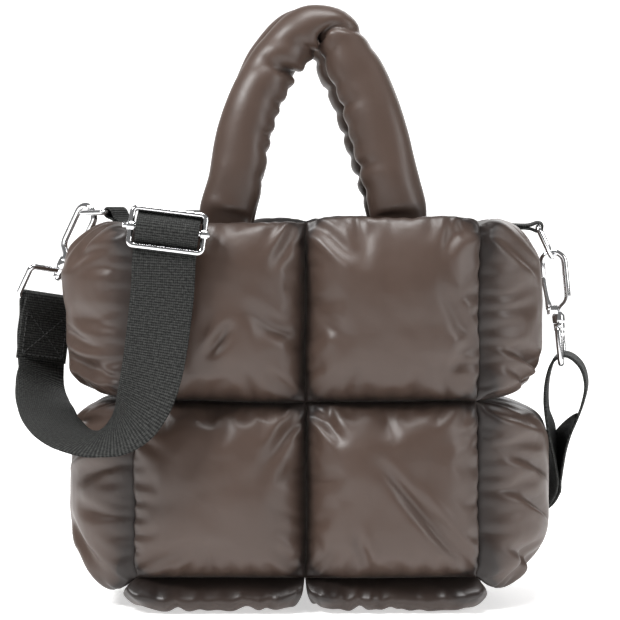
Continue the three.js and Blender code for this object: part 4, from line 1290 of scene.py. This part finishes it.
def makeSlider():
    part = fitting
    frameOf = axesFrame(sliderCentre, sliderAlong, sliderUp)
    halfWidth = (part["sliderWidth"] + part["sliderWire"]) / 2
    frame = wireFrame(halfWidth, part["sliderHalfHeight"], part["corner"], part["corner"], part["sliderWire"])
    collars = []
    bore, outer = part["sliderBar"] / 2 + part["gap"], part["sliderBar"] * 0.9
    for end in (-1, 1):
        half = (part["sliderWire"] + 1 * mm) / 2
        collar = turnPiece([(bore, -half), (outer, -half), (outer, half), (bore, half)], soften=0.35 * mm)
        collars.append(turnedAlongX(collar, (end * halfWidth, 0, 0)))
    whole = joinPieces("slider_loop", [frame, *collars], frameOf)
    half = halfWidth + part["sliderWire"] / 2 + 2.5 * mm
    radius = part["sliderBar"] / 2
    bar = turnPiece([(radius, -half), (radius, half)], soften=0.6 * mm)
    turnedAlongX(bar, (-0.8 * mm, 0, 0))
    bar = joinPieces("slider_cross_bar", [bar], frameOf)
    return whole, bar


sliderLoop, crossBar = makeSlider()
for piece, node in ((sliderLoop, "slider_frame"), (crossBar, "slider_bar")):
    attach(piece, "root")
    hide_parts(node)
print("scene: fittings made")


# Webbing

# x as a share of the half width, y of the half depth and z of the rim's height, then the way across
hangingRoute = [
    (-1.135, 0.27, 0.585, (-0.66, -0.73, 0.15)),
    (-1.12, 0.12, 0.54, (-0.60, -0.79, 0.0)),
    (-1.085, -0.18, 0.503, (-0.52, -0.85, -0.08)),
    (-1.035, -0.50, 0.476, (-0.42, -0.90, -0.12)),
    (-0.975, -0.76, 0.458, (-0.28, -0.95, -0.14)),
    (-0.905, -0.93, 0.451, (-0.08, -0.97, -0.2)),
    (-0.83, -1.02, 0.455, (0.18, -0.92, -0.33)),
    (-0.755, -1.06, 0.471, (0.45, -0.79, -0.42)),
    (-0.69, -1.085, 0.505, (0.70, -0.60, -0.36)),
    (-0.643, -1.095, 0.56, (0.88, -0.40, -0.2)),
    (-0.610, -1.097, 0.64, (0.96, -0.2, -0.13)),
    (-0.586, -1.09, 0.745, (0.99, -0.06, -0.12)),
    (-0.57, -1.09, 0.84, (0.99, 0, -0.13)),
]
doubleRoute = [
    (-0.55, -0.9, 1.008, (-1, 0, 0.05)),
    (-0.56, -0.55, 1.018, (-1, 0, 0)),
    (-0.57, 0, 1.008, (-1, 0, 0)),
    (-0.57, 0.55, 1.018, (-1, 0, 0)),
    (-0.57, 0.92, 1.01, (-1, 0, 0)),
    (-0.56, 1.1, 0.93, (-1, 0, 0)),
    (-0.54, 1.11, 0.74, (-0.99, 0, 0.1)),
    (-0.44, 1.1, 0.48, (-0.86, 0, -0.5)),
    (-0.19, 1.11, 0.27, (-0.5, 0, -0.86)),
    (0.16, 1.14, 0.19, (-0.06, 0, -1)),
    (0.55, 1.1, 0.19, (0.12, -0.1, -0.99)),
    (0.86, 1.0, 0.22, (0.3, -0.35, -0.88)),
    (1.03, 0.68, 0.28, (0.3, -0.7, -0.6)),
    (1.075, 0.33, 0.37, (0.12, -0.97, -0.2)),
]
# round the right loop's bar, out and up as shares of the bight's size
rightBight = [
    (0.5, -2.75), (0.87, -1.8), (1.02, -0.95), (0.82, -0.22), (0.38, 0.2),
    (0, 0.27), (-0.36, 0.04), (-0.6, -0.6), (-0.69, -1.5), (-0.6, -2.5),
]


def routePoint(row):
    return Vector((row[0] * outerHalfWidth, row[1] * outerHalfDepth, row[2] * seams["rim"]))


def bandObject(name, stations, width, thick, across=(-1, -0.94, -0.6, -0.2, 0.2, 0.6, 0.94, 1)):
    # a woven band with rounded selvedges, with its own map: across and along in metres
    outline = [(a, 1.0 if abs(a) < 0.97 else 0.45) for a in across]
    outline += [(a, -b) for a, b in reversed(outline)]
    sides = len(outline)
    points, run = [], [0.0]
    for centre, side, normal in stations:
        for a, b in outline:
            points.append(centre + side * (a * width / 2) + normal * (b * thick / 2))
    for (a, _, _), (b, _, _) in zip(stations, stations[1:]):
        run.append(run[-1] + (b - a).length)
    faces, maps = [], []
    for i in range(len(stations) - 1):
        for k in range(sides):
            n = (k + 1) % sides
            faces.append((i * sides + k, i * sides + n, (i + 1) * sides + n, (i + 1) * sides + k))
            u0, u1 = outline[k][0] * width / 2, outline[n][0] * width / 2
            maps.append(((u0, run[i]), (u1, run[i]), (u1, run[i + 1]), (u0, run[i + 1])))
    last = (len(stations) - 1) * sides
    faces.append(tuple(reversed(range(sides))))
    maps.append(tuple((outline[k][0] * width / 2, 0.0) for k in reversed(range(sides))))
    faces.append(tuple(last + k for k in range(sides)))
    maps.append(tuple((outline[k][0] * width / 2, run[-1]) for k in range(sides)))
    piece = makeObject(name, points, faces, [webbingFabric])
    layer = piece.data.uv_layers.new(name="run")
    spots = [spot for corners in maps for spot in corners]
    for corner, spot in zip(layer.data, spots):
        corner.uv = spot
    faceOut(piece)
    smoothAll(piece)
    return piece, run[-1]


def strapRoute():
    fit, thick = webbing["fitGap"], webbing["thick"]
    barTurn = fitting["loopWire"] / 2 + fit + thick / 2
    left, right = fittingPlaces["left"], fittingPlaces["right"]
    leftBar = left["pivot"] - left["stem"] * fitting["loopHeight"]
    leftWay = -left["loopSide"]
    leftOut = Vector((0, 0, -1)).cross(leftWay).normalized()
    leftUp = squareTo(zWay, leftWay)
    tail, sewnHalf = webbing["sewnTail"], (thick + fit) / 2
    leftTurn = [leftBar + leftOut * out + leftUp * up for out, up in (
        (-sewnHalf, -tail), (-sewnHalf, -tail * 0.6), (-sewnHalf, -tail * 0.3),
        (-barTurn * 0.97, -barTurn * 0.5), (-barTurn * 0.75, barTurn * 0.75), (0, barTurn * 1.04),
        (barTurn * 0.75, barTurn * 0.75), (barTurn * 0.97, -barTurn * 0.5),
        (sewnHalf, -tail * 0.3), (sewnHalf, -tail * 0.6),
    )]
    height = fitting["sliderHalfHeight"]
    behind = -(fitting["sliderWire"] / 2 + fit + thick / 2)
    wrap = fitting["sliderBar"] / 2 + fit + thick / 2
    over = wrap + thick + fit
    throughSlider = [sliderCentre + sliderOut * out + sliderUp * up for out, up in (
        (behind, -height - 5 * mm), (behind, -height), (behind * 0.74, -height - behind * 0.8),
        (over * 0.72, -over * 0.8), (over, 0), (over * 0.72, over * 0.8),
        (behind * 0.74, height + behind * 0.8), (behind - fit / 2, height),
    )]
    ontoBar = [sliderCentre + sliderOut * out + sliderUp * up for out, up in (
        (behind - layerPitch * 1.1, height), (-wrap * 0.35, wrap * 1.45), (wrap * 0.72, wrap * 0.76),
        (wrap * 1.04, 0), (wrap * 0.72, -wrap * 0.76), (0, -wrap * 1.04),
        (-wrap * 0.76, -wrap * 0.72), (-wrap * 1.1, 0),
    )]
    rightBar = right["pivot"] - right["stem"] * fitting["loopHeight"]
    bight = [rightBar + xWay * (out * webbing["bight"]) + zWay * (up * webbing["bight"]) for out, up in rightBight]
    hangingHints = [Vector(row[3]).normalized() for row in hangingRoute]
    doubleHints = [Vector(row[3]).normalized() for row in doubleRoute]
    doubled = pathStations([routePoint(row) for row in doubleRoute], doubleHints, 2 * len(doubleRoute))
    outer = [centre + normal * (layerPitch / 2) for centre, side, normal in doubled]
    inner = [centre - normal * (layerPitch / 2) for centre, side, normal in doubled]
    doubleSides = [-side for centre, side, normal in doubled]
    points = leftTurn + [routePoint(row) for row in hangingRoute] + throughSlider + outer + bight
    points += inner[::-1] + ontoBar
    sides = [leftWay] * len(leftTurn) + hangingHints + [sliderAlong] * len(throughSlider) + doubleSides
    sides += [right["loopSide"]] * len(bight) + doubleSides[::-1] + [sliderAlong] * len(ontoBar)
    return points, sides


stitching = {
    "halfWidth": 15.5 * mm,
    "from": 9 * mm,
    "to": 37 * mm,
    "length": 2.5 * mm,
    "pitch": 3.3 * mm,
    "thread": 0.75 * mm,
}


def makeStitches():
    # a boxed cross of stitches through the sewn end, seen on both faces
    left = fittingPlaces["left"]
    bar = left["pivot"] - left["stem"] * fitting["loopHeight"]
    way = -left["loopSide"].normalized()
    out = Vector((0, 0, -1)).cross(way).normalized()
    up = squareTo(zWay, way)
    lift = (webbing["thick"] + webbing["fitGap"]) / 2 + webbing["thick"] / 2 + 0.1 * mm
    wide, top, low = stitching["halfWidth"], -stitching["from"], -stitching["to"]
    corners = [(-wide, top), (wide, top), (wide, low), (-wide, low)]
    lines = list(zip(corners, corners[1:] + corners[:1])) + [(corners[0], corners[2]), (corners[1], corners[3])]
    points, faces = [], []
    for face in (-1, 1):
        for start, end in lines:
            a = bar + out * (face * lift) + way * start[0] + up * start[1]
            b = bar + out * (face * lift) + way * end[0] + up * end[1]
            run = (b - a).normalized()
            wing = run.cross(out)
            count = int((b - a).length / stitching["pitch"])
            for k in range(count):
                middle = a + run * ((k + 0.5) * (b - a).length / count)
                first = len(points)
                for along, wideHere in ((-1, 0.35), (-0.5, 1), (0.5, 1), (1, 0.35)):
                    centre = middle + run * (along * stitching["length"] / 2)
                    for turn in range(6):
                        angle = turn * math.pi / 3
                        half = stitching["thread"] / 2 * wideHere
                        points.append(centre + wing * (math.cos(angle) * half) + out * (math.sin(angle) * half))
                for ring in range(3):
                    for turn in range(6):
                        n = (turn + 1) % 6
                        low0, high0 = first + ring * 6, first + (ring + 1) * 6
                        faces.append((low0 + turn, low0 + n, high0 + n, high0 + turn))
                faces.append(tuple(first + turn for turn in reversed(range(6))))
                faces.append(tuple(first + 18 + turn for turn in range(6)))
    stitches = makeObject("end_stitches", points, faces, [blackThread])
    faceOut(stitches)
    smoothAll(stitches)
    return stitches


strapPoints, strapSides = strapRoute()
strapStations = pathStations(strapPoints, strapSides, 7 * len(strapPoints))
strap, strapLength = bandObject("shoulder_strap", strapStations, webbing["width"], webbing["thick"])
print("strap length", round(strapLength, 4))
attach(strap, "root")
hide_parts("strap")
stitches = makeStitches()
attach(stitches, "root")


def makeTab(side):
    sign = -1 if side == "left" else 1
    centre, barWay = ringBars[side]
    pull = fittingPlaces[side]["ringPull"]
    slope = pull.y / pull.x
    thick = webbing["tabThick"]
    pitch = thick + webbing["layerGap"]
    turn = fitting["ringWire"] / 2 + webbing["fitGap"] + thick / 2
    rim = seams["gussetRim"]
    inside = seams["halfWidth"] - quilting["liningSwell"] - webbing["fitGap"] - thick / 2 - pitch / 2
    overRim = rim - 2 * mm
    def inLine(x, z):
        return Vector((sign * x, centre.y + (sign * x - centre.x) * slope, z))
    shoulder = inLine(seams["halfWidth"] + webbing["rimRise"], overRim + pitch)
    away = (centre - shoulder).normalized()
    over = squareTo(zWay, away)
    route = [
        inLine(inside, rim - webbing["tabInside"]), inLine(inside, rim - webbing["tabInside"] / 2),
        inLine(seams["halfWidth"] - webbing["rimRise"] / 2, overRim), shoulder, centre - away * (turn * 2.2),
    ]
    way = barWay * math.copysign(1, barWay.y)
    pair = pathStations(route, [yWay, yWay, yWay, way, way], 8)
    lower = -math.copysign(1, pair[-1][2].z) * pitch / 2
    roundBar = [centre + away * (along * turn) + over * (up * turn) for along, up in (
        (-0.2, -1), (0.75, -0.72), (1.03, 0), (0.75, 0.72), (-0.2, 1),
    )]
    points = [spot + normal * lower for spot, _, normal in pair] + roundBar
    points += [spot - normal * lower for spot, _, normal in reversed(pair)]
    ways = [across for _, across, _ in pair]
    ways = ways + [way] * len(roundBar) + ways[::-1]
    stations = pathStations(points, ways, 5 * len(points))
    return bandObject(side + "_ring_tab", stations, webbing["tabWidth"], thick)


for side in ("left", "right"):
    tab, tabLength = makeTab(side)
    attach(tab, "root")
    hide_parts("tab_" + side)
print("scene: webbing made")
